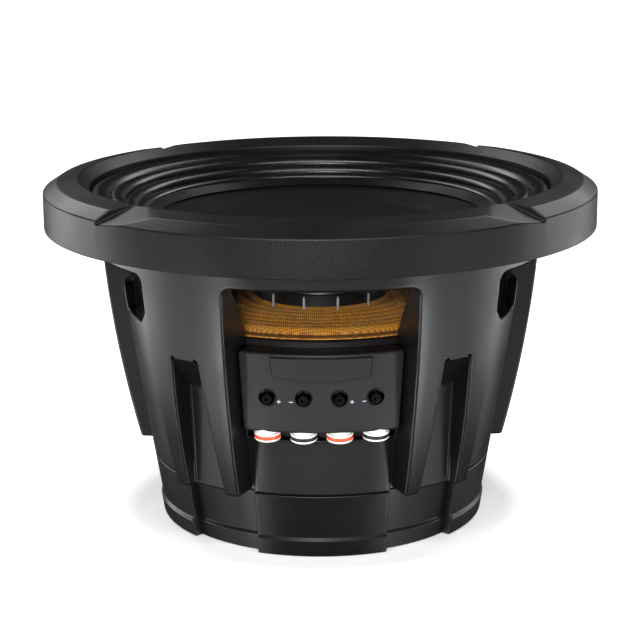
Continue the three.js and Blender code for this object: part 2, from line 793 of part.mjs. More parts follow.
function namePlate() {
  const back = plateBedR + GAP;
  const [lowZ, highZ] = [70, 90];
  const skin = solid(revolve([
    [back, lowZ],
    [blockRadius(lowZ) + PLATE_STAND, lowZ],
    [blockRadius(highZ) + PLATE_STAND, highZ],
    [back, highZ],
  ], FINE));
  const outline = solid(frontPrism(plateOutline(0), BLOCK_FRONT_Y, BLOCK_BACK_Y));
  return surface(skin.intersect(outline));
}

const PORT_R = 5.1;
const PORT_BORE_R = 3.6;
const PORT_TAIL_R = 4.7;
const PORT_FOOT = -4;
const PORT_SHOULDER = -0.8;
const PORT_TAIL = 5;
const BAND_LOW = -2.9;
const BAND_HIGH = -2;
const BAND_BORE_R = 4.65;

// The sleeve that guides a wire into the block, grooved for its colour band.
function portCollar(x) {
  const grooveR = BAND_BORE_R - 0.25;
  return atChannel(revolve([
    [PORT_BORE_R, PORT_FOOT],
    [PORT_R, PORT_FOOT],
    [PORT_R, BAND_LOW - 0.1],
    [grooveR, BAND_LOW - 0.1],
    [grooveR, BAND_HIGH + 0.1],
    [PORT_R, BAND_HIGH + 0.1],
    [PORT_R, PORT_SHOULDER],
    [PORT_TAIL_R, PORT_SHOULDER],
    [PORT_TAIL_R, PORT_TAIL],
    [PORT_BORE_R, PORT_TAIL],
  ], SMALL), x);
}

function portBand(x) {
  return atChannel(ring(BAND_BORE_R, PORT_R, BAND_LOW, BAND_HIGH, SMALL), x);
}

const BARREL_R = 4.4;
const BARREL_LOW = 5.8;
const BARREL_HIGH = 19;
const BARREL_TAPPING_R = 2.3;

// The brass barrel that a wire is clamped in, tapped across for its screw.
function clampBarrel(x) {
  const body = solid(atChannel(ring(WIRE_R, BARREL_R, BARREL_LOW, BARREL_HIGH, SMALL), x));
  const tapping = solid(atScrew(rod(BARREL_TAPPING_R, 0, 12, SMALL), x, channelLeanY(x)));
  return surface(body.subtract(tapping));
}

const PAD_OFFSET = 0.4;
const PAD_R = 1.9;
const PAD_THICK = 1.1;
const SET_SCREW_R = 1.95;
const SET_SCREW_LENGTH = 5.5;
const HEX_SOCKET_R = 1.15;
const HEX_SOCKET_DEPTH = 2.5;

// The pad that the set screw presses on the wire.
function clampPad(x) {
  return atScrew(rod(PAD_R, PAD_OFFSET, PAD_OFFSET + PAD_THICK), x, channelLeanY(x));
}

// The set screw, with its hexagon socket facing out.
function setScrew(x) {
  const tip = PAD_OFFSET + PAD_THICK + GAP;
  const head = tip + SET_SCREW_LENGTH;
  const body = solid(rod(SET_SCREW_R, tip, head));
  const socket = solid(rod(HEX_SOCKET_R, head - HEX_SOCKET_DEPTH, head + 1, 6));
  return atScrew(surface(body.subtract(socket)), x, channelLeanY(x));
}

// ---------------------------------------------------------------- assembly

const model = new THREE.Group();

function place(name, geometry, material) {
  const mesh = new THREE.Mesh(geometry, material);
  mesh.name = name;
  model.add(mesh);
  return mesh;
}

place('basket_flange', basketFlange(), BLACK_FRAME);
armAzimuths.forEach((azimuth, n) => {
  place(`basket_arm_${n + 1}`, turned(basketArm(), azimuth), BLACK_FRAME);
});
place('basket_drum', basketDrum(), BLACK_FRAME);
place('trim_ring', trimRing(), TRIM_RUBBER);
place('motor_boot', motorBoot(), BOOT_RUBBER);

const magnetZ = BACK_PLATE_Z + BACK_PLATE_THICK + GAP;
const magnetTopZ = magnetZ + MAGNET_THICK;
const SHORTING_RING_HEIGHT = 12;
place('yoke', yoke(), STEEL);
place('magnet_lower', ring(MAGNET_BORE_R, MAGNET_R, magnetZ, magnetTopZ), FERRITE);
place(
  'magnet_upper',
  ring(MAGNET_BORE_R, MAGNET_R, magnetTopZ + GAP, TOP_PLATE_Z - GAP),
  FERRITE,
);
place('top_plate', topPlate(), STEEL);
place(
  'shorting_ring',
  ring(POLE_R + GAP, MAGNET_BORE_R - 2, magnetZ, magnetZ + SHORTING_RING_HEIGHT),
  ALUMINIUM,
);
place(
  'vent_screen',
  rod(SCREEN_SEAT_R - GAP, BACK_PLATE_Z + 0.2, BACK_PLATE_Z + 1.7, COARSE),
  ALUMINIUM,
);
// M5 and M3 socket heads: shank radius and length, head radius and height, socket radius.
const MOTOR_SCREW = [2.3, 11.5, 4.2, 4, 1.9];
const BLOCK_SCREW = [1.4, 9.5, BLOCK_SCREW_HEAD_R, 2.2, 1.3];
armAzimuths.forEach((azimuth, n) => {
  const screw = place(`motor_screw_${n + 1}`, capScrew(...MOTOR_SCREW), ZINC);
  screw.position.set(...polar(MOTOR_SCREW_R, azimuth), PLATFORM_Z + PLATFORM_THICK + GAP);
});

place(
  'spider_ring',
  ring(DRUM_BORE_R + 0.1, SPIDER_R + 1, LEDGE_Z + GAP, SPIDER_Z),
  BLACK_PLASTIC,
);
place('spider', spider(), SPIDER_CLOTH);
place('surround', surround(), SURROUND_RUBBER);

const formerOuterR = FORMER_R + FORMER_WALL;
const coilBoreR = formerOuterR + 0.1;
place('voice_coil_former', ring(FORMER_R, formerOuterR, FORMER_FOOT_Z, NECK_Z + 2), ALUMINIUM);
place('voice_coil_lower', ring(coilBoreR, COIL_R, COIL_Z, COIL_Z + COIL_LENGTH), COPPER);
place(
  'voice_coil_upper',
  ring(coilBoreR, COIL_R, COIL_Z + COIL_LENGTH + GAP, COIL_Z + 2 * COIL_LENGTH),
  COPPER,
);
place(
  'neck_collar',
  ring(formerOuterR + 0.2, COLLAR_R, COLLAR_Z, COLLAR_Z + COLLAR_HEIGHT),
  BLACK_PLASTIC,
);
place('cone', cone(), CONE_PULP);
place('dust_cap', dustCap(), CONE_PULP);

place('terminal_block', terminalBlock(), BLOCK_PLASTIC);
place('name_plate', namePlate(), BLOCK_PLASTIC);
LEDGE_SCREW_AZIMUTHS.forEach((azimuth, n) => {
  const screw = place(`block_screw_${n + 1}`, capScrew(...BLOCK_SCREW), ZINC);
  screw.rotation.x = Math.PI;
  screw.position.set(...polar(LEDGE_SCREW_R, azimuth), LEDGE_Z - 9 - GAP);
});
terminalXs.forEach((x, n) => {
  const number = n + 1;
  const band = n % 2 === 0 ? RED_PLASTIC : BLACK_PLASTIC;
  place(`clamp_barrel_${number}`, clampBarrel(x), BRASS);
  place(`clamp_pad_${number}`, clampPad(x), BRASS);
  place(`set_screw_${number}`, setScrew(x), ZINC);
  place(`port_collar_${number}`, portCollar(x), WHITE_PLASTIC);
  place(`port_band_${number}`, portBand(x), band);
});
TINSEL_X.forEach((x, n) => {
  place(`tinsel_lead_${n + 1}`, tinselLead(x), SILVER_BRAID);
});

export default model;
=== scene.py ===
"""A 200 mm class car subwoofer driver, standing on its motor with the cone facing up.

Shapes are modelled in millimetres, +Z up, with the origin at the centre of the motor
boot's underside and the wire terminals facing -Y. Each finished piece is then scaled to
metres. Azimuths are in degrees about Z, from the front and positive towards +X.

A casting that repeats round Z is modelled flat, as one sector laid out straight, where
x is the arc length at UNROLLED_R and y is the depth behind that radius. It is bevelled
and cut there, and then bent round the axis and copied.
"""

from __future__ import annotations

import logging
import math
from collections.abc import Callable, Iterator, Sequence
from contextlib import contextmanager
from dataclasses import dataclass, field
from enum import Enum

import bpy
from mathutils import Matrix, Vector
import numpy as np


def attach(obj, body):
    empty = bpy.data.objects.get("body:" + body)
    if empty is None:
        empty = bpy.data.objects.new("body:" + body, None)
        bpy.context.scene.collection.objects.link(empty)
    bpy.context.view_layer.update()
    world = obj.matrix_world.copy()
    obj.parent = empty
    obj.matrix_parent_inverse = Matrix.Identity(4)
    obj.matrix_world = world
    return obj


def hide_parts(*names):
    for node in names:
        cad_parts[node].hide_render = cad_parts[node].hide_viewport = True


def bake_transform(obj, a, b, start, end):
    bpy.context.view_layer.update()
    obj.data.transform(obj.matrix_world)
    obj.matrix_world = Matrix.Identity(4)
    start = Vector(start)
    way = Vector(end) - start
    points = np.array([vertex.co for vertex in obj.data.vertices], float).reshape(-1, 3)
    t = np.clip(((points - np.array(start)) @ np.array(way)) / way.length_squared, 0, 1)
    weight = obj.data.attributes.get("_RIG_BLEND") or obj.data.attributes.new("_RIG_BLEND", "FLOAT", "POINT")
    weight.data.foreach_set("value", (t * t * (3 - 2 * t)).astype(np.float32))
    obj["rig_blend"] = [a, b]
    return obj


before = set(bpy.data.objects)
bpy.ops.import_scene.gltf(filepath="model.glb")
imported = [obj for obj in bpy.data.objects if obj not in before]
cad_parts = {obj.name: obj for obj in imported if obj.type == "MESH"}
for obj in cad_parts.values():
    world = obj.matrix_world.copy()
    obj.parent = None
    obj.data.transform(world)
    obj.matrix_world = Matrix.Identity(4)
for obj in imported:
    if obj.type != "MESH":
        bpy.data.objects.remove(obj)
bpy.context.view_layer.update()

log = logging.getLogger("driver")

MM = 0.001
TURN = 2 * math.pi
UNROLLED_R = 90.0
RING_STEPS = 180
SMALL_STEPS = 40
SLICE_DEGREES = 3.0
ARMS = 5
SECTOR = 360 / ARMS
MERGE = 0.004
BEYOND = 120.0

Point = tuple[float, float]
Settings = dict[str, object]


# ---------------------------------------------------------------- modelling


def select_only(*pieces: bpy.types.Object) -> None:
    """Select these objects and nothing else, with the first one active.

    Args:
        pieces: The objects to select.
    """
    bpy.ops.object.select_all(action="DESELECT")
    for piece in pieces:
        piece.select_set(True)
    bpy.context.view_layer.objects.active = pieces[0]


@contextmanager
def editing(piece: bpy.types.Object) -> Iterator[None]:
    """Open a piece in edit mode with all of it selected, and close it again.

    Args:
        piece: The mesh object to edit.

    Yields:
        Nothing. The operators inside the block act on the piece.
    """
    select_only(piece)
    bpy.ops.object.mode_set(mode="EDIT")
    bpy.ops.mesh.select_all(action="SELECT")
    yield
    bpy.ops.object.mode_set(mode="OBJECT")


def finish_with(piece: bpy.types.Object, kind: str, **settings: object) -> None:
    """Add a modifier to a piece and apply it.

    Args:
        piece: The mesh object to change.
        kind: Blender's name for the modifier's type.
        settings: Properties of the modifier.
    """
    modifier = piece.modifiers.new(kind.title(), kind)
    for name, value in settings.items():
        setattr(modifier, name, value)
    select_only(piece)
    bpy.ops.object.modifier_apply(modifier=modifier.name)


def placed(
    piece: bpy.types.Object,
    location: Sequence[float] = (0, 0, 0),
    rotation: Sequence[float] = (0, 0, 0),
    scale: Sequence[float] = (1, 1, 1),
) -> bpy.types.Object:
    """Turn, scale and move a piece, and put that place into its mesh.

    Args:
        piece: The mesh object to place.
        location: Where its own origin goes.
        rotation: Degrees about X, Y and Z.
        scale: Factors along X, Y and Z.

    Returns:
        The same object.
    """
    piece.location = location
    piece.rotation_euler = [math.radians(angle) for angle in rotation]
    piece.scale = scale
    select_only(piece)
    bpy.ops.object.transform_apply(location=True, rotation=True, scale=True)
    return piece


def copy_of(piece: bpy.types.Object, name: str) -> bpy.types.Object:
    """A second piece with a mesh of its own.

    Args:
        piece: The mesh object to copy.
        name: The copy's name.

    Returns:
        The copy.
    """
    twin = piece.copy()
    twin.data = piece.data.copy()
    twin.name = name
    bpy.context.scene.collection.objects.link(twin)
    return twin


def joined(first: bpy.types.Object, *others: bpy.types.Object) -> bpy.types.Object:
    """Several pieces as one object, with the seams between them closed.

    Args:
        first: The object that the others join.
        others: The objects that go into it.

    Returns:
        The first object.
    """
    select_only(first, *others)
    bpy.ops.object.join()
    return tidied(first)


def tidied(piece: bpy.types.Object) -> bpy.types.Object:
    """Merge doubles, drop loose bits and turn the faces outwards.

    Args:
        piece: The mesh object to clean.

    Returns:
        The same object.
    """
    with editing(piece):
        bpy.ops.mesh.remove_doubles(threshold=MERGE)
        bpy.ops.mesh.dissolve_degenerate(threshold=MERGE)
        bpy.ops.mesh.delete_loose()
        bpy.ops.mesh.select_all(action="SELECT")
        bpy.ops.mesh.normals_make_consistent(inside=False)
    return piece


def wire(name: str, points: Sequence[Sequence[float]]) -> bpy.types.Object:
    """A closed wire through points.

    Args:
        name: The object's name.
        points: The x, y and z of each corner, in order.

    Returns:
        The wire.
    """
    bpy.ops.mesh.primitive_circle_add(vertices=len(points), radius=UNROLLED_R)
    outline = bpy.context.object
    outline.name = name
    for corner, point in zip(outline.data.vertices, points):
        corner.co = point
    return outline


def spun(name: str, outline: Sequence[Point], steps: int = RING_STEPS) -> bpy.types.Object:
    """A [radius, z] outline turned about Z.

    Args:
        name: The object's name.
        outline: Corners of the closed section. It may start and end on the axis.
        steps: Steps in the full turn.

    Returns:
        The turned piece.
    """
    piece = wire(name, [(r, 0, z) for r, z in outline])
    with editing(piece):
        bpy.ops.mesh.spin(
            steps=steps, angle=TURN, center=(0, 0, 0), axis=(0, 0, 1), use_auto_merge=True
        )
    return tidied(piece)


def prism(name: str, outline: Sequence[Point], painted_shadow_gradient: float, far: float) -> bpy.types.Object:
    """An (x, z) outline extruded along Y.

    Args:
        name: The object's name.
        outline: Corners of the closed front view.
        painted_shadow_gradient: The y it starts at.
        far: The y it ends at.

    Returns:
        The prism.
    """
    piece = wire(name, [(x, painted_shadow_gradient, z) for x, z in outline])
    with editing(piece):
        bpy.ops.mesh.edge_face_add()
        bpy.ops.mesh.extrude_region_move(
            TRANSFORM_OT_translate={"value": (0, far - painted_shadow_gradient, 0)}
        )
    return tidied(piece)


def arc_length(degrees: float) -> float:
    """The x, laid out straight, of an azimuth."""
    return math.radians(degrees) * UNROLLED_R


def slab(name: str, outline: Sequence[Point], half: float) -> bpy.types.Object:
    """A [radius, z] section drawn out over an angle, laid out straight.

    Args:
        name: The object's name.
        outline: Corners of the closed section.
        half: Half of the angle that it spans, in degrees.

    Returns:
        The flat piece, centred on the front.
    """
    x = arc_length(half)
    piece = wire(name, [(-x, UNROLLED_R - r, z) for r, z in outline])
    with editing(piece):
        bpy.ops.mesh.edge_face_add()
        bpy.ops.mesh.extrude_region_move(TRANSFORM_OT_translate={"value": (2 * x, 0, 0)})
    return tidied(piece)


class Cut(Enum):
    """How a second shape changes a first."""

    AWAY = "DIFFERENCE"
    COMMON = "INTERSECT"
    TOGETHER = "UNION"


def carved(piece: bpy.types.Object, cut: Cut, *tools: bpy.types.Object) -> bpy.types.Object:
    """Cut or join a piece with other shapes, which are used up.

    Args:
        piece: The mesh object to change.
        cut: What the other shapes do to it.
        tools: The other shapes.

    Returns:
        The changed piece.
    """
    for tool in tools:
        finish_with(piece, "BOOLEAN", operation=cut.value, object=tool, solver="EXACT")
        bpy.data.objects.remove(tool)
    return tidied(piece)


def rounded(
    piece: bpy.types.Object,
    width: float,
    segments: int = 3,
    limit: float = 30,
    clamp: bool = True,
) -> bpy.types.Object:
    """Round the edges of a piece.

    Args:
        piece: The mesh object to change.
        width: Width of the rounding.
        segments: Faces across the rounding.
        limit: Edges that turn by more than this many degrees are rounded.
        clamp: Whether the width is held back by the shortest edge.

    Returns:
        The same object.
    """
    finish_with(
        piece,
        "BEVEL",
        width=width,
        segments=segments,
        limit_method="ANGLE",
        angle_limit=math.radians(limit),
        use_clamp_overlap=clamp,
        miter_outer="MITER_ARC",
    )
    return piece


def cut_off(
    piece: bpy.types.Object,
    place: Sequence[float],
    facing: Sequence[float],
    close: bool = True,
) -> None:
    """Cut a piece through with a plane, and drop what is in front of the plane.

    Args:
        piece: The mesh object to cut.
        place: A point on the plane.
        facing: The way that the plane faces.
        close: Whether the cut is filled with a face.
    """
    with editing(piece):
        bpy.ops.mesh.bisect(
            plane_co=place, plane_no=facing, clear_outer=True, use_fill=close
        )


def bent(piece: bpy.types.Object, trim: float | None = None) -> bpy.types.Object:
    """Slice a flat piece finely and bend it round the Z axis.

    Args:
        piece: The flat mesh object, centred on the front.
        trim: Half of the angle to keep, in degrees, or None to keep it all.

    Returns:
        The same object, bent.
    """
    if trim is not None:
        x = arc_length(trim)
        for way in (1, -1):
            cut_off(piece, (way * x, 0, 0), (way, 0, 0), close=False)
    reach = max(abs(corner.co.x) for corner in piece.data.vertices)
    slices = round(math.degrees(2 * reach / UNROLLED_R) / SLICE_DEGREES)
    with editing(piece):
        for n in range(1, slices):
            bpy.ops.mesh.select_all(action="SELECT")
            x = -reach + 2 * reach * n / slices
            bpy.ops.mesh.bisect(plane_co=(x, 0, 0), plane_no=(1, 0, 0))
    finish_with(
        piece,
        "SIMPLE_DEFORM",
        deform_method="BEND",
        deform_axis="Z",
        angle=2 * reach / UNROLLED_R,
    )
    return placed(piece, location=(0, -UNROLLED_R, 0))


def ringed(name: str, sectors: Sequence[bpy.types.Object]) -> bpy.types.Object:
    """Equal sectors set round the axis and closed into one ring.

    Args:
        name: The ring's name.
        sectors: The bent sectors in order from the front. They are used up.

    Returns:
        The ring.
    """
    for n, sector in enumerate(sectors):
        placed(sector, rotation=(0, 0, n * 360 / len(sectors)))
    ring = joined(*sectors)
    ring.name = name
    return ring


def arc(start: Point, top: Point, end: Point, steps: int = 7) -> list[Point]:
    """Points of the circle through three points, from the first to just before the last.

    Args:
        start: The first point.
        top: A point on the way.
        end: The last point, which is left out.
        steps: How many points to return.

    Returns:
        The points.
    """
    (ax, ay), (bx, by), (cx, cy) = start, top, end
    d = 2 * (ax * (by - cy) + bx * (cy - ay) + cx * (ay - by))
    a2, b2, c2 = ax * ax + ay * ay, bx * bx + by * by, cx * cx + cy * cy
    ux = (a2 * (by - cy) + b2 * (cy - ay) + c2 * (ay - by)) / d
    uy = (a2 * (cx - bx) + b2 * (ax - cx) + c2 * (bx - ax)) / d
    radius = math.hypot(ax - ux, ay - uy)
    first = math.atan2(ay - uy, ax - ux)
    sweep = math.atan2(cy - uy, cx - ux) - first
    if d < 0 < sweep:
        sweep -= TURN
    if d > 0 > sweep:
        sweep += TURN
    return [
        (
            ux + radius * math.cos(first + sweep * n / steps),
            uy + radius * math.sin(first + sweep * n / steps),
        )
        for n in range(steps)
    ]


def thickened(middle: Sequence[Point], wall: float) -> list[Point]:
    """The closed outline of a sheet, from the middle line of its section.

    Args:
        middle: Points along the sheet.
        wall: The sheet's thickness.

    Returns:
        The outline.
    """
    over, under = [], []
    last = len(middle) - 1
    for n, (r, z) in enumerate(middle):
        before, after = middle[max(n - 1, 0)], middle[min(n + 1, last)]
        along = Vector((after[0] - before[0], after[1] - before[1])).normalized()
        side = Vector((-along.y, along.x)) * wall / 2
        over.append((r + side.x, z + side.y))
        under.append((r - side.x, z - side.y))
    return over + under[::-1]


def chamfered(
    inner: float, outer: float, low: float, high: float, edge: float
) -> list[Point]:
    """The section of a flat ring with its outer corners broken.

    Args:
        inner: Bore radius.
        outer: Outer radius.
        low: Lower face's height.
        high: Upper face's height.
        edge: Width of the broken corners.

    Returns:
        The outline.
    """
    return [
        (inner, low), (outer - edge, low), (outer, low + edge),
        (outer, high - edge), (outer - edge, high), (inner, high),
    ]


def polar(radius: float, azimuth: float, z: float = 0) -> Vector:
    """The place at a radius, an azimuth in degrees and a height."""
    angle = math.radians(azimuth)
    return Vector((radius * math.sin(angle), -radius * math.cos(angle), z))


def skin_radius(z: float) -> float:
    """Outer radius of the arms and the band, at a height."""
    return 69.5 + 0.3263 * z - 0.001162 * z * z


def panel_radius(z: float) -> float:
    """Outer radius of the raised panels, at a height."""
    return 65.85 + 0.157 * z


def recess_radius(z: float) -> float:
    """Outer radius of the drum between the panels, at a height."""
    return panel_radius(z) - 3.4


def web_radius(z: float) -> float:
    """Radius of the floor of an arm's pocket, at a height."""
    return 69.63 + 0.115 * z


def heights(low: float, high: float, steps: int) -> list[float]:
    """Even heights from low to high, both included."""
    return [low + (high - low) * n / steps for n in range(steps + 1)]


# ---------------------------------------------------------------- finishes


def linear(colour: str) -> tuple[float, float, float, float]:
    """A '#rrggbb' sRGB colour as linear red, green, blue and alpha.

    Args:
        colour: The hex colour.

    Returns:
        The linear colour.
    """
    parts = [int(colour[n : n + 2], 16) / 255 for n in (1, 3, 5)]
    red, green, blue = (
        part / 12.92 if part <= 0.04045 else ((part + 0.055) / 1.055) ** 2.4
        for part in parts
    )
    return red, green, blue, 1.0


def per_metre(size: float) -> float:
    """The texture scale that gives a pattern of a size in millimetres."""
    return 1 / (size * MM)


def wave_scale(pitch: float) -> float:
    """The wave texture's scale for bands a pitch in millimetres apart."""
    return per_metre(pitch) * TURN / 20


def add_node(
    tree: bpy.types.NodeTree,
    kind: str,
    settings: Settings | None = None,
    **inputs: object,
) -> bpy.types.Node:
    """Add one node with its settings, values and links.

    Args:
        tree: The material's node tree.
        kind: The node's type, without the ShaderNode prefix.
        settings: Properties of the node.
        inputs: A value or an output socket for each input, with _ for a space.

    Returns:
        The node.
    """
    node = tree.nodes.new("ShaderNode" + kind)
    for name, value in (settings or {}).items():
        setattr(node, name, value)
    for name, value in inputs.items():
        socket = node.inputs[int(name[1:]) if name[1:].isdigit() else name.replace("_", " ")]
        if isinstance(value, bpy.types.NodeSocket):
            tree.links.new(value, socket)
        else:
            socket.default_value = value
    return node


@dataclass(frozen=True)
class Finish:
    """A surface with a fine grain, such as a moulding, a coat of powder or a casting.

    Attributes:
        name: The material's common name and how its surface was made.
        dark: Colour in the hollows of the grain.
        light: Colour on the crests of the grain.
        roughness: Mean roughness.
        grain: Size of the grain in millimetres.
        relief: Height of the grain in millimetres.
        wander: How far the roughness strays from its mean.
        metallic: 1 on bare metal.
        specular: Specular level of the shader.
        coat: Weight of a clear coat.
        sheen: Weight of a sheen.
    """

    name: str
    dark: str
    light: str
    roughness: float
    grain: float = 0.8
    relief: float = 0.02
    wander: float = 0.08
    metallic: float = 0.0
    specular: float = 0.5
    coat: float = 0.0
    sheen: float = 0.0

    def pattern(
        self, tree: bpy.types.NodeTree, place: bpy.types.NodeSocket
    ) -> bpy.types.NodeSocket:
        """The grain's height, from 0 to 1.

        Args:
            tree: The material's node tree.
            place: Object coordinates.

        Returns:
            The socket that carries the height.
        """
        noise = add_node(
            tree, "TexNoise", Vector=place, Scale=per_metre(self.grain), Detail=3.0
        )
        return noise.outputs["Fac"]

    def build(self) -> bpy.types.Material:
        """The material, made the first time that it is asked for."""
        if self.name in bpy.data.materials:
            return bpy.data.materials[self.name]
        material = bpy.data.materials.new(self.name)
        material.use_nodes = True
        tree = material.node_tree
        tree.nodes.clear()
        place = add_node(tree, "TexCoord").outputs["Object"]
        height = self.pattern(tree, place)
        colour = add_node(
            tree, "Mix", {"data_type": "RGBA"},
            Factor=height, _6=linear(self.dark), _7=linear(self.light),
        )
        cloud = add_node(tree, "TexNoise", Vector=place, Scale=per_metre(23), Detail=2.0)
        rough = add_node(
            tree, "MapRange",
            Value=cloud.outputs["Fac"], From_Min=0.3, From_Max=0.7,
            To_Min=self.roughness - self.wander, To_Max=self.roughness + self.wander,
        )
        bump = add_node(
            tree, "Bump", Height=height, Distance=self.relief * MM, Strength=1.0
        )
        shader = add_node(
            tree, "BsdfPrincipled",
            Base_Color=colour.outputs[2],
            Roughness=rough.outputs["Result"],
            Normal=bump.outputs["Normal"],
            Metallic=self.metallic,
        )
        shader.inputs["Specular IOR Level"].default_value = self.specular
        shader.inputs["Coat Weight"].default_value = self.coat
        shader.inputs["Coat Roughness"].default_value = 0.2
        shader.inputs["Sheen Weight"].default_value = self.sheen
        add_node(tree, "OutputMaterial", Surface=shader.outputs["BSDF"])
        return material


@dataclass(frozen=True)
class Pebbled(Finish):
    """A moulding from a grained tool: rounded pebbles with creases between them."""

    def pattern(
        self, tree: bpy.types.NodeTree, place: bpy.types.NodeSocket
    ) -> bpy.types.NodeSocket:
        """The pebbles' height, from 0 in a crease to 1 on top."""
        cells = add_node(
            tree, "TexVoronoi", {"feature": "DISTANCE_TO_EDGE"},
            Vector=place, Scale=per_metre(self.grain),
        )
        return add_node(
            tree, "MapRange", {"interpolation_type": "SMOOTHSTEP"},
            Value=cells.outputs["Distance"], From_Min=0.0, From_Max=0.45,
        ).outputs["Result"]


@dataclass(frozen=True)
class Turned(Finish):
    """A face cut on a lathe: fine rings round the Z axis."""

    def pattern(
        self, tree: bpy.types.NodeTree, place: bpy.types.NodeSocket
    ) -> bpy.types.NodeSocket:
        """The tool marks' height, from 0 to 1."""
        return add_node(
            tree, "TexWave", {"wave_type": "RINGS", "rings_direction": "Z"},
            Vector=place, Scale=wave_scale(self.grain), Distortion=0.6, Detail=2.0,
        ).outputs["Fac"]


@dataclass(frozen=True)
class Wound(Finish):
    """Enamelled wire in close turns, one above another."""

    def pattern(
        self, tree: bpy.types.NodeTree, place: bpy.types.NodeSocket
    ) -> bpy.types.NodeSocket:
        """The turns' height, from 0 between two to 1 on the crest."""
        return add_node(
            tree, "TexWave", {"bands_direction": "Z", "wave_profile": "SIN"},
            Vector=place, Scale=wave_scale(self.grain), Distortion=0.1,
        ).outputs["Fac"]


@dataclass(frozen=True)
class Woven(Finish):
    """A plain weave whose warp and weft run along two axes.

    Attributes:
        slant: Degrees that the weave is turned about Z.
    """

    slant: float = 0.0

    def pattern(
        self, tree: bpy.types.NodeTree, place: bpy.types.NodeSocket
    ) -> bpy.types.NodeSocket:
        """The threads' height, from 0 in a hole to 1 on a crossing."""
        turned = add_node(
            tree, "Mapping", Vector=place, Rotation=(0, 0, math.radians(self.slant))
        ).outputs["Vector"]
        warp, weft = (
            add_node(
                tree, "TexWave", {"bands_direction": way},
                Vector=turned, Scale=wave_scale(self.grain), Distortion=2.2, Detail=2.0,
            ).outputs["Fac"]
            for way in ("X", "Y")
        )
        return add_node(
            tree, "Math", {"operation": "MULTIPLY_ADD"}, _0=warp, _1=0.5,
            _2=add_node(tree, "Math", {"operation": "MULTIPLY"}, _0=weft, _1=0.5).outputs[0],
        ).outputs[0]


# Powder coat levels into a faint orange peel about a millimetre across, so a highlight
# on the casting has a soft, slightly mottled edge.
POWDER_COAT = Finish(
    "powder coated aluminium casting", "#0b0b0c", "#101012", 0.32,
    grain=1.1, relief=0.01, wander=0.04, specular=0.42,
)
# Rubber moulded in a grained tool: each pebble catches its own point of light, which
# makes the ring look grey and dry beside the casting.
PEBBLED_RUBBER = Pebbled(
    "pebble grained EPDM rubber", "#0e0e10", "#19191b", 0.4,
    grain=0.95, relief=0.02, wander=0.04, specular=0.28,
)
# Rubber from a polished tool has a low, even lustre and no texture of its own.
SMOOTH_RUBBER = Finish(
    "smooth moulded rubber", "#0b0b0c", "#101011", 0.34,
    grain=2.0, relief=0.005, wander=0.05, specular=0.3,
)
# Butyl rolls are smooth and a little oily, so a soft highlight runs round every crest.
BUTYL = Finish(
    "butyl rubber, moulded", "#09090b", "#0e0e10", 0.3,
    grain=1.6, relief=0.005, wander=0.05, specular=0.4,
)
# A spark eroded tool leaves ABS matt and faintly sandy, lighter than the casting.
SPARKED_ABS = Finish(
    "spark textured ABS", "#1a191b", "#232225", 0.48,
    grain=0.7, relief=0.02, wander=0.04, specular=0.4,
)
# Pressed pulp shows short felted fibres and hardly shines at all.
CONE_PULP = Finish(
    "pressed paper pulp", "#0a0a0b", "#111112", 0.6,
    grain=1.4, relief=0.04, wander=0.08, specular=0.1,
)
# Resin stiffened cotton and aramid: an open weave of straw coloured threads. The real
# threads are half a millimetre apart, and are drawn at twice that so that they show.
SPIDER_CLOTH = Woven(
    "resin stiffened woven cloth", "#8a4a0a", "#ffb440", 0.62,
    grain=0.8, relief=0.16, wander=0.06, specular=0.4, sheen=0.1,
)
# Zinc plate over turned steel: bright, with fine rings that spread a highlight.
PLATED_STEEL = Turned(
    "zinc plated steel, turned", "#8f9194", "#b4b6b9", 0.32,
    grain=0.9, relief=0.008, metallic=1.0,
)
# Screws tumbled in zinc: bright and slightly pitted.
ZINC = Finish(
    "zinc plated steel", "#9c9ea1", "#c8cacc", 0.3,
    grain=0.6, relief=0.01, metallic=1.0,
)
# Set screws: steel coloured nearly black as painted shade for the dark access hole, with one sharp point of
# light from the lamps.
SHADE_PAINTED_STEEL = Finish(
    "steel, painted dark as shade", "#161617", "#29292b", 0.24,
    grain=0.6, relief=0.006, wander=0.04, metallic=1.0,
)
# Sintered ferrite, ground flat: charcoal grey, with a dull mineral glint.
FERRITE = Finish(
    "ground ferrite", "#2b2c2e", "#434547", 0.52, grain=0.9, relief=0.015, specular=0.6,
)
# Drawn aluminium foil and screen: pale, cool, faintly streaked.
ALUMINIUM = Finish(
    "drawn aluminium", "#b4b6b9", "#d2d4d6", 0.34, grain=0.8, relief=0.006, metallic=1.0,
)
# Turned brass, coloured a dark bronze: painted shade for the dark access hole that the barrel and pad sit
# in.
SHADE_PAINTED_BRASS = Turned(
    "brass, turned, painted dark as shade", "#2b2721", "#474036", 0.36,
    grain=0.7, relief=0.006, metallic=1.0,
)
# Enamelled round copper wire: each turn is a bright ridge under a clear coat.
COPPER_WIRE = Wound(
    "enamelled copper wire", "#6e3517", "#c77b45", 0.3,
    grain=0.75, relief=0.12, metallic=1.0, coat=0.5,
)
# Silvered copper tinsel over a textile core, braided flat. Its near white colour on a mostly non-metallic
# surface is a painted reflection that stands in for the silver's bright glints.
GLINT_PAINTED_TINSEL = Woven(
    "silvered copper braid", "#9d9c98", "#fbfaf6", 0.34,
    grain=0.8, relief=0.08, metallic=0.3, slant=45.0,
)
# Pad printed ink lies on the plastic as a thin, even, pale film.
PRINTED_INK = Finish(
    "pad printed ink", "#8fa0a6", "#a9b8bd", 0.5, grain=0.6, relief=0.002,
)
# Plain moulded nylon has a soft satin and a trace of flow.
WHITE_NYLON = Finish(
    "white nylon, moulded", "#d8d5cf", "#efece7", 0.42, grain=3.0, relief=0.004,
)
RED_NYLON = Finish(
    "red orange nylon, moulded", "#d8401a", "#f05426", 0.42, grain=3.0, relief=0.004,
)
BLACK_NYLON = Finish(
    "black nylon, moulded", "#141414", "#1e1e1e", 0.46, grain=3.0, relief=0.004,
)


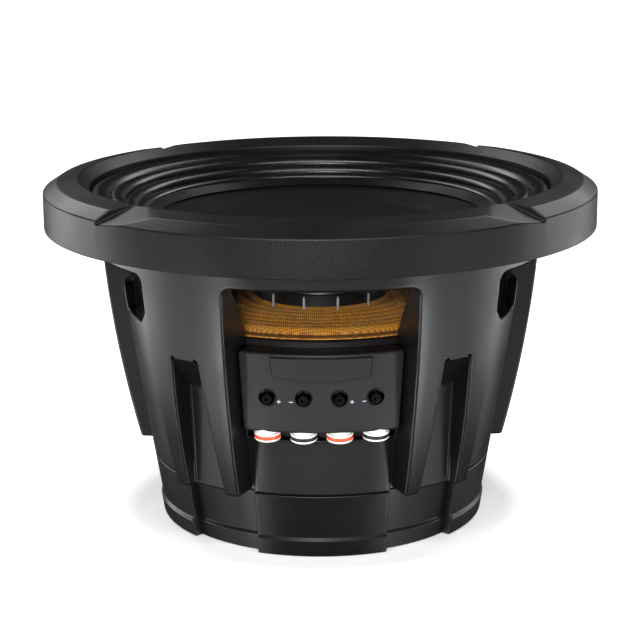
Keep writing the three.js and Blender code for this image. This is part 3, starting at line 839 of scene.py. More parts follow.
def settle(
    piece: bpy.types.Object,
    finish: Finish,
    stands_for: Sequence[str],
    body: str | None = "frame",
    smooth: float = 35,
) -> bpy.types.Object:
    """Turn a modelled piece into a finished part of the driver.

    Args:
        piece: The piece, in millimetres.
        finish: Its surface.
        stands_for: The CAD nodes that it replaces.
        body: The body that it rides on, or None where the caller blends it.
        smooth: Edges that turn by less than this many degrees are shaded smooth.

    Returns:
        The piece, in metres.
    """
    placed(piece, scale=(MM, MM, MM))
    select_only(piece)
    bpy.ops.object.shade_smooth_by_angle(angle=math.radians(smooth))
    if body is not None:
        finish_with(piece, "WEIGHTED_NORMAL", mode="FACE_AREA", keep_sharp=True)
    piece.data.materials.clear()
    piece.data.materials.append(finish.build())
    piece.data.name = piece.name
    if body is not None:
        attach(piece, body)
    if stands_for:
        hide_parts(*stands_for)
    log.info("%s: %d faces, %s", piece.name, len(piece.data.polygons), finish.name)
    return piece


# ---------------------------------------------------------------- basket


@dataclass
class Basket:
    """The cast basket: a flange and band on five arms, and a drum round the motor."""

    foot_z: float = 25.8
    flange_z: float = 120.7
    flange_r: float = 106.0
    flange_thick: float = 4.7
    bore_r: float = 89.8
    window_top_z: float = 111.2
    window_half_top: float = 23.6
    window_half_foot: float = 24.5
    window_corner: float = 3.7
    pocket_top_z: float = 81.0
    pocket_slope_z: float = 68.5
    pocket_half_top: float = 4.0
    pocket_half_foot: float = 6.8
    panel_half: float = 22.3
    panel_top_z: float = 96.0
    panel_thick: float = 3.9
    dip_half: float = 17.0
    dip_flat: float = 7.0
    dip_depth: float = 9.0
    ledge_z: float = 84.0
    ledge_bore_r: float = 62.5
    ledge_thick: float = 3.0
    ledge_root: float = 7.0
    drum_wall: float = 4.0
    platform_z: float = 60.6
    platform_thick: float = 4.0
    platform_bore_r: float = 40.0
    front_panel_r: float = 69.8
    front_panel_thick: float = 5.0
    slot_z: float = 48.5
    bay_back_r: float = 61.0
    bay_lip_r: float = 69.3
    opening_half: float = 23.9
    edge: float = 1.1
    drum_edge: float = 0.4
    overlap: float = 44.0

    def window(self) -> bpy.types.Object:
        """The cutter for the opening between two arms, with rounded upper corners."""
        top = arc_length(self.window_half_top)
        foot = arc_length(self.window_half_foot)
        centre = (top - self.window_corner, self.window_top_z - self.window_corner)
        corner = [
            (
                centre[0] + self.window_corner * math.sin(TURN / 4 * n / 6),
                centre[1] + self.window_corner * math.cos(TURN / 4 * n / 6),
            )
            for n in range(7)
        ]
        right = [*corner, (foot, self.foot_z - 5)]
        left = [(-x, z) for x, z in reversed(right)]
        return prism("window", right + left, -40, 60)

    def pocket(self, side: int) -> bpy.types.Object:
        """The cutter for the tapered hollow up the outside of an arm.

        Args:
            side: 1 for the arm on the right of the window, -1 for the left.

        Returns:
            The cutter.
        """
        low, high = self.foot_z - 5, self.pocket_top_z + 6
        hollow = slab(
            "pocket",
            [
                (web_radius(low), low), (BEYOND, low), (BEYOND, high),
                (skin_radius(high) + 2.4, high),
                (web_radius(self.pocket_slope_z), self.pocket_slope_z),
            ],
            self.pocket_half_foot + 2,
        )
        foot, top = arc_length(self.pocket_half_foot), arc_length(self.pocket_half_top)
        lean = (foot - top) / (self.pocket_top_z - self.foot_z)
        for way in (1, -1):
            cut_off(hollow, (way * foot, 0, self.foot_z), (way, 0, lean))
        cut_off(hollow, (0, 0, self.pocket_top_z), (0, 0, 1))
        return placed(tidied(hollow), location=(side * arc_length(SECTOR / 2), 0, 0))

    def shell_sector(self) -> bpy.types.Object:
        """A window with half of an arm on either side, and the flange above them."""
        top = self.flange_z + self.flange_thick
        shell = slab(
            "basket_casting",
            [
                *((skin_radius(z), z) for z in heights(self.foot_z, self.flange_z, 12)),
                (self.flange_r, self.flange_z), (self.flange_r, top), (self.bore_r, top),
                (86.5, self.window_top_z + 2), (80, 106), (70.6, 89.6),
                (70.6, self.ledge_z + 0.3),
                (recess_radius(self.ledge_z) - 2, self.ledge_z + 0.3),
                (recess_radius(self.foot_z) - 2, self.foot_z),
            ],
            self.overlap,
        )
        carved(shell, Cut.AWAY, self.window(), self.pocket(1), self.pocket(-1))
        return bent(rounded(shell, self.edge, clamp=False), trim=SECTOR / 2)

    def drum_slab(self) -> bpy.types.Object:
        """The drum's wall, ledge and platform, laid out straight."""
        wall = self.drum_wall
        root_z = self.ledge_z - self.ledge_root
        platform_top = self.platform_z + self.platform_thick
        return slab(
            "basket_drum",
            [
                (recess_radius(self.foot_z), self.foot_z),
                (recess_radius(self.ledge_z), self.ledge_z),
                (self.ledge_bore_r, self.ledge_z),
                (self.ledge_bore_r, self.ledge_z - self.ledge_thick),
                (recess_radius(root_z) - wall, root_z),
                (recess_radius(self.platform_z) - wall, platform_top),
                (self.platform_bore_r, platform_top),
                (self.platform_bore_r, self.platform_z),
                (recess_radius(self.platform_z) - wall, self.platform_z),
                (recess_radius(self.foot_z) - wall, self.foot_z),
            ],
            self.overlap,
        )

    def side_panel(self) -> bpy.types.Object:
        """The raised panel at the foot of a side window, with a dip in its upper edge."""
        panel = slab(
            "panel",
            [
                (panel_radius(self.foot_z), self.foot_z),
                (panel_radius(self.panel_top_z), self.panel_top_z),
                (panel_radius(self.panel_top_z) - self.panel_thick, self.panel_top_z),
                (panel_radius(self.foot_z) - self.panel_thick, self.foot_z),
            ],
            self.panel_half,
        )
        flat, half = arc_length(self.dip_flat), arc_length(self.dip_half)
        floor = self.panel_top_z - self.dip_depth
        slope = [
            (
                flat + (half - flat) * n / 8,
                floor + self.dip_depth * (3 * (n / 8) ** 2 - 2 * (n / 8) ** 3),
            )
            for n in range(9)
        ]
        right = [*slope, (half, self.panel_top_z + 3)]
        left = [(-x, z) for x, z in reversed(right)]
        carved(panel, Cut.AWAY, prism("dip", left + right, 0, 60))
        return rounded(panel, self.edge)

    def front_panel(self) -> bpy.types.Object:
        """The upright panel under the terminals."""
        back_r = self.front_panel_r - self.front_panel_thick
        panel = slab(
            "front_panel",
            [
                (back_r, self.foot_z), (self.front_panel_r, self.foot_z),
                (self.front_panel_r, self.slot_z), (back_r, self.slot_z),
            ],
            self.panel_half,
        )
        return rounded(panel, self.edge)

    def terminal_opening(self) -> bpy.types.Object:
        """The cutter for the bay that the terminal block sits in."""
        return slab(
            "bay",
            [
                (self.bay_back_r, self.slot_z), (BEYOND, self.slot_z),
                (BEYOND, self.ledge_z + 2), (self.bay_lip_r, self.ledge_z + 2),
                (self.bay_lip_r, self.ledge_z - self.ledge_thick),
                (self.bay_back_r, self.ledge_z - self.ledge_thick - 0.2),
            ],
            self.opening_half,
        )

    def build(self) -> None:
        """Make the casting and the drum."""
        sectors = [self.shell_sector()]
        sectors += [copy_of(sectors[0], f"sector_{n}") for n in range(1, ARMS)]
        arms = [f"basket_arm_{n + 1}" for n in range(ARMS)]
        settle(
            ringed("basket_casting", sectors),
            POWDER_COAT, ["basket_flange", *arms],
        )

        side = rounded(self.drum_slab(), self.drum_edge)
        carved(side, Cut.TOGETHER, self.side_panel())
        bent(side, trim=SECTOR / 2)
        front = carved(self.drum_slab(), Cut.AWAY, self.terminal_opening())
        rounded(front, self.drum_edge)
        carved(front, Cut.TOGETHER, self.front_panel())
        bent(front, trim=SECTOR / 2)
        others = [copy_of(side, f"side_{n}") for n in range(2, ARMS)]
        settle(
            ringed("basket_drum_wall", [front, side, *others]),
            POWDER_COAT, ["basket_drum"],
        )


# ---------------------------------------------------------------- trim ring


@dataclass
class TrimRing:
    """The rubber ring over the flange, with four one-sided notches in its land."""

    outer_r: float = 111.75
    flange_z: float = 120.7
    side_top_z: float = 135.3
    shoulder: Point = (106.2, 138.9)
    land: Point = (97.5, 140.4)
    lip: Point = (93.3, 136.6)
    clamp_z: float = 127.2
    inner_r: float = 106.3
    notch_azimuth: float = 2.2
    notch_r: float = 107.3
    notch_floor_z: float = 135.6
    notch_lean: float = 14.8
    rise_along: float = 0.142
    rise_inward: float = 0.359
    edge: float = 0.5

    def notch(self) -> bpy.types.Object:
        """The cutter for a notch: an upright wall, and a floor that ramps up to the land."""
        corner = (
            -arc_length(self.notch_azimuth), UNROLLED_R - self.notch_r, self.notch_floor_z
        )
        bpy.ops.mesh.primitive_cube_add(size=60)
        block = placed(bpy.context.object, location=corner)
        lean = math.radians(self.notch_lean)
        cut_off(block, corner, (-math.cos(lean), math.sin(lean), 0))
        cut_off(block, corner, (self.rise_along, self.rise_inward, -1))
        return tidied(block)

    def build(self) -> None:
        """Make a quarter of the ring and mirror it into the whole."""
        quarter = slab(
            "trim_ring_moulding",
            [
                (self.outer_r, self.flange_z), (self.outer_r, self.side_top_z),
                self.shoulder, self.land, self.lip,
                (self.lip[0], self.clamp_z), (self.inner_r, self.clamp_z),
                (self.inner_r, self.flange_z),
            ],
            50,
        )
        carved(quarter, Cut.AWAY, self.notch())
        bent(rounded(quarter, self.edge, limit=15), trim=45)
        placed(quarter, rotation=(0, 0, -45))
        finish_with(
            quarter, "MIRROR", use_axis=(True, True, False), merge_threshold=0.02
        )
        settle(tidied(quarter), PEBBLED_RUBBER, ["trim_ring"])


# ---------------------------------------------------------------- motor


@dataclass
class Motor:
    """The rubber boot, and the yoke, magnets and plate inside it."""

    boot_top_z: float = 25.75
    boot_lip_z: float = 6.8
    boot_lip: float = 0.7
    cavity_r: float = 59.0
    port_r: float = 30.0
    floor: float = 2.0
    panel_half: float = 22.3
    magnet_r: float = 58.0
    magnet_bore_r: float = 31.0
    magnet_thick: float = 19.6
    back_z: float = 2.3
    back_thick: float = 8.0
    plate_z: float = 50.3
    plate_thick: float = 10.0
    pole_r: float = 23.9
    gap_r: float = 27.4
    vent_r: float = 9.0
    gap: float = 0.3
    screw_r: float = 50.0
    screw_z: float = 64.9

    def boot_outline(self, extra: float, inner: list[Point]) -> list[Point]:
        """The boot's section, with its lip near the floor.

        Args:
            extra: How far the skin stands out from the recess.
            inner: Corners that close the section on the inside, from the top down.

        Returns:
            The outline.
        """
        lip_z = self.boot_lip_z
        return [
            (recess_radius(0) + extra + self.boot_lip, 0),
            (recess_radius(lip_z) + extra + self.boot_lip, lip_z),
            (recess_radius(lip_z) + extra, lip_z + 0.9),
            (recess_radius(self.boot_top_z) + extra, self.boot_top_z),
            *inner,
        ]

    def build_boot(self) -> None:
        """Make the boot from five like sectors, each with a raised panel."""
        cup = slab(
            "motor_boot_moulding",
            self.boot_outline(
                0,
                [
                    (self.cavity_r, self.boot_top_z), (self.cavity_r, self.floor),
                    (self.port_r, self.floor), (self.port_r, 0),
                ],
            ),
            44,
        )
        raised = slab(
            "raised",
            self.boot_outline(3.4, [(60.5, self.boot_top_z), (60.5, 0)]),
            self.panel_half,
        )
        rounded(cup, 0.5)
        rounded(raised, 0.6)
        carved(cup, Cut.TOGETHER, raised)
        bent(cup, trim=SECTOR / 2)
        sectors = [cup, *(copy_of(cup, f"boot_{n}") for n in range(1, ARMS))]
        settle(
            ringed("motor_boot_moulding", sectors),
            SMOOTH_RUBBER, ["motor_boot"],
        )

    def build_magnetics(self) -> None:
        """Make the yoke, the magnets, the plate and the shorting ring."""
        back_top = self.back_z + self.back_thick
        plate_top = self.plate_z + self.plate_thick
        seat_r = self.vent_r + 3.5
        yoke = spun(
            "yoke_turned",
            [
                (seat_r, self.back_z), (self.magnet_r - 2, self.back_z),
                *arc(
                    (self.magnet_r - 2, self.back_z),
                    (self.magnet_r - 0.6, self.back_z + 0.6),
                    (self.magnet_r, self.back_z + 2),
                    4,
                )[1:],
                (self.magnet_r, self.back_z + 2), (self.magnet_r, back_top),
                (self.pole_r, back_top), (self.pole_r, plate_top),
                (self.vent_r + 2, plate_top), (self.vent_r + 0.6, plate_top - 0.9),
                (self.vent_r, plate_top - 3), (self.vent_r, self.back_z + 2),
                (seat_r, self.back_z + 2),
            ],
        )
        settle(yoke, PLATED_STEEL, ["yoke"])

        low = back_top + self.gap
        tops = [low + self.magnet_thick, self.plate_z - self.gap]
        bottoms = [low, tops[0] + self.gap]
        names = ["magnet_lower", "magnet_upper"]
        for name, bottom, top in zip(names, bottoms, tops):
            magnet = spun(name + "_ring", chamfered(
                self.magnet_bore_r, self.magnet_r, bottom, top, 1.0))
            settle(magnet, FERRITE, [name])

        plate = spun("top_plate_turned", chamfered(
            self.gap_r, self.magnet_r - 1, self.plate_z, plate_top, 0.6))
        settle(plate, PLATED_STEEL, ["top_plate"])
        ring = spun("shorting_ring_turned", chamfered(
            self.pole_r + self.gap, self.magnet_bore_r - 2, low, low + 12, 0.5))
        settle(ring, ALUMINIUM, ["shorting_ring"])

    def build_screen(self) -> None:
        """Make the vent screen, a disc pierced with round holes."""
        radius, low, high = self.vent_r + 3.2, self.back_z + 0.2, self.back_z + 1.7
        screen = spun("vent_screen_pierced", [(0, low), (radius, low), (radius, high), (0, high)])
        pitch, hole_r = 2.4, 0.85
        holes = []
        for row in range(-4, 5):
            for column in range(-5, 6):
                x = (column + row % 2 / 2) * pitch
                y = row * pitch * math.sin(TURN / 6)
                if math.hypot(x, y) < self.vent_r - 0.6:
                    bpy.ops.mesh.primitive_cylinder_add(
                        vertices=12, radius=hole_r, depth=5, location=(x, y, low)
                    )
                    holes.append(bpy.context.object)
        select_only(*holes)
        bpy.ops.object.join()
        placed(holes[0], location=holes[0].location)
        carved(screen, Cut.AWAY, holes[0])
        settle(screen, ALUMINIUM, ["vent_screen"])

    def build_screws(self) -> None:
        """Make the five socket screws that hold the basket to the plate."""
        for n in range(ARMS):
            screw = cap_screw(f"motor_screw_{n + 1}_cap", 2.3, 11.5, 4.2, 4.0, 1.9)
            place = polar(self.screw_r, SECTOR * (n + 0.5), self.screw_z)
            placed(screw, location=place)
            settle(screw, ZINC, [f"motor_screw_{n + 1}"])

    def build(self) -> None:
        """Make the whole motor."""
        self.build_boot()
        self.build_magnetics()
        self.build_screen()
        self.build_screws()


def cap_screw(
    name: str, shank: float, length: float, head: float, height: float, socket: float
) -> bpy.types.Object:
    """A hexagon socket screw on Z, with the underside of its head at z = 0.

    Args:
        name: The object's name.
        shank: Radius of the shank.
        length: Length of the shank.
        head: Radius of the head.
        height: Height of the head.
        socket: Radius of the socket's corners.

    Returns:
        The screw.
    """
    pitch = 0.8
    ridges = int(length / pitch) - 1
    thread = [
        (shank - (0.35 if n % 2 else 0), -length + 0.6 + n * pitch / 2)
        for n in range(2 * ridges)
    ]
    body = spun(
        name,
        [
            (0, -length), (shank - 0.6, -length),
            *thread,
            (shank, 0), (head - 0.2, 0), (head, 0.2), (head, height - 0.5),
            (head - 0.5, height), (socket + 0.3, height), (0, height),
        ],
        SMALL_STEPS,
    )
    return carved(body, Cut.AWAY, hexagon(socket, height / 2, height + 1))


def hexagon(radius: float, low: float, high: float) -> bpy.types.Object:
    """The cutter for a hexagon socket, on Z.

    Args:
        radius: Radius of its corners.
        low: Height of the socket's floor.
        high: Height of its open end.

    Returns:
        The cutter.
    """
    bpy.ops.mesh.primitive_cylinder_add(
        vertices=6, radius=radius, depth=high - low, location=(0, 0, (low + high) / 2)
    )
    return placed(bpy.context.object, location=(0, 0, (low + high) / 2))


# ---------------------------------------------------------------- moving parts


def set_weights(piece: bpy.types.Object, share: Callable[[Vector], float]) -> None:
    """Let a blended piece follow the cone by a share that eases in and out.

    Args:
        piece: The piece, in metres, already blended between the frame and the cone.
        share: Gives the share, from 0 to 1, at a place in millimetres.
    """
    weights = piece.data.attributes["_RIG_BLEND"]
    for corner, weight in zip(piece.data.vertices, weights.data):
        part = min(max(share(corner.co / MM), 0.0), 1.0)
        weight.value = part * part * (3 - 2 * part)


@dataclass
class Suspension:
    """The surround, the spider with its ring, and the tinsel leads."""

    rim: Sequence[Point] = ((105.4, 126.4), (92.6, 126.4))
    rolls: Sequence[Point] = (
        (91.4, 127.2), (88, 134.9), (85, 132.0),
        (82, 133.3), (79, 129.6), (76.6, 130.2),
        (74.2, 126.7), (72.6, 127.2), (70.8, 125.6),
    )
    bond: Sequence[Point] = ((69.0, 124.6), (66.4, 123.2))
    sheet: float = 1.0
    spider_rim: Sequence[Point] = ((67.6, 87.9), (62.6, 87.9))
    spider_rolls: Sequence[Point] = (
        (61.8, 87.6), (59.4, 90.6), (57.0, 87.4),
        (54.4, 90.6), (51.8, 87.2), (49.0, 90.6), (46.2, 87.2),
        (43.4, 90.6), (40.6, 87.2), (37.8, 90.6), (35.0, 87.2),
        (32.6, 90.4), (30.2, 87.4),
    )
    spider_neck: Sequence[Point] = ((28.6, 88.6), (27.0, 90.2), (25.3, 90.4))
    cloth: float = 0.5
    ring_inner_r: float = 62.6
    ring_outer_r: float = 68.6
    ledge_z: float = 84.3
    spider_z: float = 87.2
    lug_y: float = -58.6
    neck_y: float = -29.0
    free_length: float = 31.1

    @staticmethod
    def rolled(corners: Sequence[Point], steps: int) -> list[Point]:
        """Arcs that meet in creases, from a crease, a crest, a crease and so on.

        Args:
            corners: The creases and crests in turn.
            steps: Points along each arc.

        Returns:
            The middle line of the section.
        """
        line: list[Point] = []
        for n in range(0, len(corners) - 2, 2):
            line += arc(corners[n], corners[n + 1], corners[n + 2], steps)
        return [*line, corners[-1]]

    def blended(self, piece: bpy.types.Object, still: float, moving: float) -> None:
        """Hold a ring to the frame outside and to the cone inside.

        Args:
            piece: The ring, in metres.
            still: Radius where it stays with the frame.
            moving: Radius where it moves with the cone.
        """
        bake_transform(piece, "frame", "cone", start=(0, -still * MM, 0), end=(0, -moving * MM, 0))
        set_weights(piece, lambda place: (place.xy.length - still) / (moving - still))

    def build_surround(self) -> None:
        """Make the surround from its clamped rim to the lip bonded on the cone."""
        middle = [*self.rim, *self.rolled(self.rolls, 8), *self.bond]
        piece = spun("surround_moulding", thickened(middle, self.sheet))
        settle(piece, BUTYL, ["surround"], body=None, smooth=50)
        self.blended(piece, 91.0, 71.0)

    def build_spider(self) -> None:
        """Make the spider's corrugations, finer than the CAD's, and its ring."""
        middle = [*self.spider_rim, *self.rolled(self.spider_rolls, 6), *self.spider_neck]
        piece = spun("spider_cloth", thickened(middle, self.cloth))
        settle(piece, SPIDER_CLOTH, ["spider"], body=None, smooth=60)
        self.blended(piece, 62.0, 27.0)
        ring = spun("spider_clamp_ring", chamfered(
            self.ring_inner_r, self.ring_outer_r, self.ledge_z, self.spider_z, 0.4))
        settle(ring, BLACK_NYLON, ["spider_ring"])

    def build_leads(self) -> None:
        """Round the four flat braids, which bend between the block and the neck."""
        for n in range(1, 5):
            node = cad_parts[f"tinsel_lead_{n}"]
            lead = copy_of(node, f"tinsel_braid_{n}")
            lead.parent = None
            lead.matrix_world = Matrix.Identity(4)
            placed(lead, scale=(1 / MM, 1 / MM, 1 / MM))
            tidied(lead)
            finish_with(lead, "SUBSURF", levels=1, render_levels=1)
            settle(
                lead, GLINT_PAINTED_TINSEL, [f"tinsel_lead_{n}"], body=None, smooth=60
            )
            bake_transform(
                lead, "frame", "cone",
                start=(0, self.lug_y * MM, 0), end=(0, self.neck_y * MM, 0),
            )
            set_weights(lead, lambda place: (place.y - self.lug_y) / self.free_length)

    def build(self) -> None:
        """Make all that bends with the cone."""
        self.build_surround()
        self.build_spider()
        self.build_leads()


@dataclass
class MovingCone:
    """The cone, its dust cap, the voice coils on their former and the neck collar."""

    former_r: float = 24.6
    former_wall: float = 0.4
    former_foot_z: float = 40.0
    neck_z: float = 96.0
    cap_seat: Point = (55.5, 116.8)
    wall_bend: Point = (62.5, 120.3)
    edge: Point = (69.5, 124.2)
    pulp: float = 0.9
    cap_wall: float = 0.8
    cap_r: float = 54.6
    cap_z: float = 117.8
    cap_centre_z: float = 109.0
    coil_r: float = 26.4
    coil_z: float = 43.5
    coil_length: float = 11.6
    wire: float = 0.75
    collar_r: float = 26.8

    def build_cone(self) -> None:
        """Make the cone's shallow wall and the dished cap bonded in it."""
        neck_r = self.former_r + self.former_wall + 0.3
        foot_z = self.neck_z + 0.6
        seat_r, seat_z = self.cap_seat
        middle = [
            *(
                (neck_r + (seat_r - neck_r) * t, foot_z + (seat_z - foot_z) * t**0.92)
                for t in (0, 0.15, 0.3, 0.45, 0.6, 0.75, 0.9, 1)
            ),
            self.wall_bend,
            (self.edge[0], self.edge[1] - 0.5),
        ]
        cone = spun("cone_pressing", thickened(middle, self.pulp))
        settle(cone, CONE_PULP, ["cone"], body="cone", smooth=45)

        rise = self.cap_z - 0.2 - self.cap_centre_z
        dish = [
            (self.cap_r * t, self.cap_centre_z + rise * t * t)
            for t in (0, 0.12, 0.25, 0.38, 0.5, 0.62, 0.74, 0.86, 0.95, 1)
        ]
        cap = spun("dust_cap_pressing", [
            *dish, *((r, z + self.cap_wall) for r, z in reversed(dish)),
        ])
        settle(cap, CONE_PULP, ["dust_cap"], body="cone", smooth=45)

    def build_coil(self) -> None:
        """Make the former, the two windings in the gap and the neck collar."""
        outer = self.former_r + self.former_wall
        former = spun("voice_coil_former_tube", [
            (self.former_r, self.former_foot_z), (outer, self.former_foot_z),
            (outer, self.neck_z + 2), (self.former_r, self.neck_z + 2),
        ])
        settle(former, ALUMINIUM, ["voice_coil_former"], body="cone")
        gap = 0.3
        for name, low, high in (
            ("lower", self.coil_z, self.coil_z + self.coil_length),
            ("upper", self.coil_z + self.coil_length + gap, self.coil_z + 2 * self.coil_length),
        ):
            turns = round((high - low) / self.wire)
            pitch = (high - low) / turns
            ridges: list[Point] = []
            for n in range(turns):
                bottom = low + n * pitch
                ridges += arc(
                    (self.coil_r - 0.3, bottom), (self.coil_r, bottom + pitch / 2),
                    (self.coil_r - 0.3, bottom + pitch),
                    4,
                )
            winding = spun(
                f"voice_coil_{name}_winding",
                [(outer + 0.1, low), *ridges, (self.coil_r - 0.3, high), (outer + 0.1, high)],
                96,
            )
            settle(
                winding, COPPER_WIRE, [f"voice_coil_{name}"],
                body="cone", smooth=60,
            )
        collar = spun("neck_collar_moulding", chamfered(
            outer + 0.2, self.collar_r, 89.6, 95.4, 0.4))
        settle(collar, BLACK_NYLON, ["neck_collar"], body="cone")

    def build(self) -> None:
        """Make all that moves with the voice coil."""
        self.build_cone()
        self.build_coil()


# ---------------------------------------------------------------- terminals


@dataclass
class Terminals:
    """The terminal block with its plate, and four clamps with their screws and ports."""

    foot_z: float = 53.0
    top_z: float = 85.0
    half_foot: float = 23.1
    half_top: float = 23.6
    face_foot_r: float = 76.0
    face_rise: float = 3 / 32
    back_r: float = 65.4
    shelf_r: float = 69.8
    shelf_z: float = 80.4
    lean: float = 5.3
    pitch: float = 13.8
    depth: float = 5.6
    screw_z: float = 67.0
    access_r: float = 3.1
    channel_r: float = 4.7
    channel_height: float = 19.5
    barrel_r: float = 4.4
    barrel_bore_r: float = 3.0
    barrel_foot: float = 5.8
    barrel_head: float = 19.0
    tapping_r: float = 2.3
    thread_r: float = 1.95
    thread_pitch: float = 0.7
    screw_tip: float = 1.8
    screw_head: float = 7.3
    socket_r: float = 1.15
    plate_half: float = 19.2
    plate_top_z: float = 83.3
    plate_foot_z: float = 76.0
    plate_bow_z: float = 72.6
    ledge_screw_r: float = 66.0
    ledge_screw_azimuth: float = 14.0
    places: tuple[float, ...] = field(init=False)

    def __post_init__(self) -> None:
        """Set the four terminals an equal pitch apart."""
        self.places = tuple(n * self.pitch for n in (-1.5, -0.5, 0.5, 1.5))

    def face_r(self, z: float) -> float:
        """Radius of the block's face at a height."""
        return self.face_foot_r + (z - self.foot_z) * self.face_rise

    def channel_y(self, x: float) -> float:
        """Depth of a wire channel's axis, at the block's underside."""
        return -math.sqrt(self.face_foot_r**2 - x * x) + self.depth

    def screw_y(self, x: float) -> float:
        """Depth of a wire channel's axis, at the height of the set screws."""
        return self.channel_y(x) - (self.screw_z - self.foot_z) * math.tan(
            math.radians(self.lean)
        )

    def at_channel(self, piece: bpy.types.Object, x: float) -> bpy.types.Object:
        """Lean a piece with the block's face and hang it at a wire channel.

        Args:
            piece: The piece, modelled on Z.
            x: The terminal's place.

        Returns:
            The same object.
        """
        return placed(
            piece, location=(x, self.channel_y(x), self.foot_z), rotation=(self.lean, 0, 0)
        )

    def at_screw(self, piece: bpy.types.Object, x: float) -> bpy.types.Object:
        """Lay a piece along a set screw's axis, with its top towards the front.

        Args:
            piece: The piece, modelled on Z.
            x: The terminal's place.

        Returns:
            The same object.
        """
        return placed(
            piece, location=(x, self.screw_y(x), self.screw_z), rotation=(90, 0, 0)
        )

    def plate_outline(self, margin: float) -> list[Point]:
        """Front view of the blank plate, with its bowed lower edge.

        Args:
            margin: How far to grow it all round.

        Returns:
            The outline.
        """
        half, foot = self.plate_half + margin, self.plate_foot_z - margin
        bow = [
            (
                -half + 1 + (2 * half - 2) * n / 16,
                foot - (self.plate_foot_z - self.plate_bow_z) / 2
                * (1 - (2 * n / 16 - 1) ** 2),
            )
            for n in range(17)
        ]
        top = self.plate_top_z + margin
        return [(-half, top), *bow, (half, top)]

    def build_block(self) -> None:
        """Mould the block, bend it round the drum and bore it."""
        block = slab(
            "terminal_block_moulding",
            [
                (self.back_r, self.foot_z), (self.face_r(self.foot_z), self.foot_z),
                (self.face_r(self.top_z), self.top_z), (self.shelf_r, self.top_z),
                (self.shelf_r, self.shelf_z), (self.back_r, self.shelf_z),
            ],
            self.half_top,
        )
        top, foot = arc_length(self.half_top), arc_length(self.half_foot)
        lean = (top - foot) / (self.top_z - self.foot_z)
        for way in (1, -1):
            cut_off(block, (way * foot, 0, self.foot_z), (way, 0, -lean))
        bent(rounded(tidied(block), 1.2, 4))
        bpy.ops.mesh.primitive_cube_add(size=1)
        foot_block = placed(
            bpy.context.object, location=(0, -62.4, 76), scale=(44, 6, 8.6)
        )
        rounded(foot_block, 0.8)
        carved(block, Cut.TOGETHER, foot_block)
        cutters = []
        for x in self.places:
            channel = spun("channel", [
                (0, -2), (5.2, -2), (5.2, 5.5), (self.channel_r, 5.5),
                (self.channel_r, self.channel_height), (0, self.channel_height),
            ], SMALL_STEPS)
            face = self.depth + (self.screw_z - self.foot_z) * (
                self.face_rise - math.tan(math.radians(self.lean))
            )
            mouth = face - 0.4
            access = spun("access", [
                (0, 0), (self.access_r, 0), (self.access_r, mouth),
                (self.access_r + 0.8, mouth + 0.8), (self.access_r + 0.8, 20), (0, 20),
            ], SMALL_STEPS)
            cutters += [self.at_channel(channel, x), self.at_screw(access, x)]
        for way in (-1, 1):
            bore = spun("bore", [
                (0, -6), (3.4, -6), (3.4, 0), (1.8, 0), (1.8, 9), (0, 9),
            ], SMALL_STEPS)
            azimuth = way * self.ledge_screw_azimuth
            cutters.append(placed(bore, location=polar(self.ledge_screw_r, azimuth, 75)))
        bed_r = self.face_r(80) - 0.6
        bed = spun("bed", [(bed_r, 60), (110, 60), (110, 110), (bed_r, 110)])
        carved(bed, Cut.COMMON, prism("bed_front", self.plate_outline(0.3), -95, -50))
        carved(block, Cut.AWAY, *cutters, bed)
        settle(block, SPARKED_ABS, ["terminal_block"], smooth=30)

    def build_plate(self) -> None:
        """Make the blank plate that covers the top of the block's face."""
        back = self.face_r(80) - 0.3
        skin = spun("name_plate_moulding", [
            (back, 70), (self.face_r(70) + 0.9, 70), (self.face_r(90) + 0.9, 90), (back, 90),
        ])
        carved(skin, Cut.COMMON, prism("plate_front", self.plate_outline(0), -95, -50))
        rounded(skin, 0.35, 2)
        settle(skin, SPARKED_ABS, ["name_plate"], smooth=30)

    def build_marks(self) -> None:
        """Print a plus and a minus between the two terminals of each coil."""
        arm, line, z = 0.75, 0.17, self.screw_z - 1.2
        plus = [
            (line, arm), (line, line), (arm, line), (arm, -line), (line, -line),
            (line, -arm), (-line, -arm), (-line, -line), (-arm, -line), (-arm, line),
            (-line, line), (-line, arm),
        ]
        minus = [(arm, line), (arm, -line), (-arm, -line), (-arm, line)]
        for n, x in enumerate(self.places):
            outline, way = (plus, 1) if n % 2 == 0 else (minus, -1)
            place = x + way * 4.6
            azimuth = math.degrees(math.asin(place / self.face_r(z)))
            mark = prism(f"polarity_mark_{n + 1}", outline, -0.12, 0.3)
            placed(mark, rotation=(0, 0, azimuth), location=polar(self.face_r(z), azimuth, z))
            settle(mark, PRINTED_INK, [])

    def build_clamp(self, number: int, x: float) -> None:
        """Make one clamp: its barrel, pad, set screw, port and colour band.

        Args:
            number: The terminal's number, from 1 at the left.
            x: The terminal's place.
        """
        barrel = spun(f"clamp_barrel_{number}_turned", chamfered(
            self.barrel_bore_r, self.barrel_r, self.barrel_foot, self.barrel_head, 0.3
        ), SMALL_STEPS)
        self.at_channel(barrel, x)
        tapping = spun("tapping", [
            (0, 0), (self.tapping_r, 0), (self.tapping_r, 12), (0, 12),
        ], SMALL_STEPS)
        carved(barrel, Cut.AWAY, self.at_screw(tapping, x))
        settle(barrel, SHADE_PAINTED_BRASS, [f"clamp_barrel_{number}"])

        pad = spun(f"clamp_pad_{number}_turned", [
            (0, 0.4), (1.6, 0.4), (1.9, 0.7), (1.9, 1.5), (0, 1.5),
        ], SMALL_STEPS)
        settle(
            self.at_screw(pad, x), SHADE_PAINTED_BRASS, [f"clamp_pad_{number}"],
            body=f"clamp_{number}",
        )

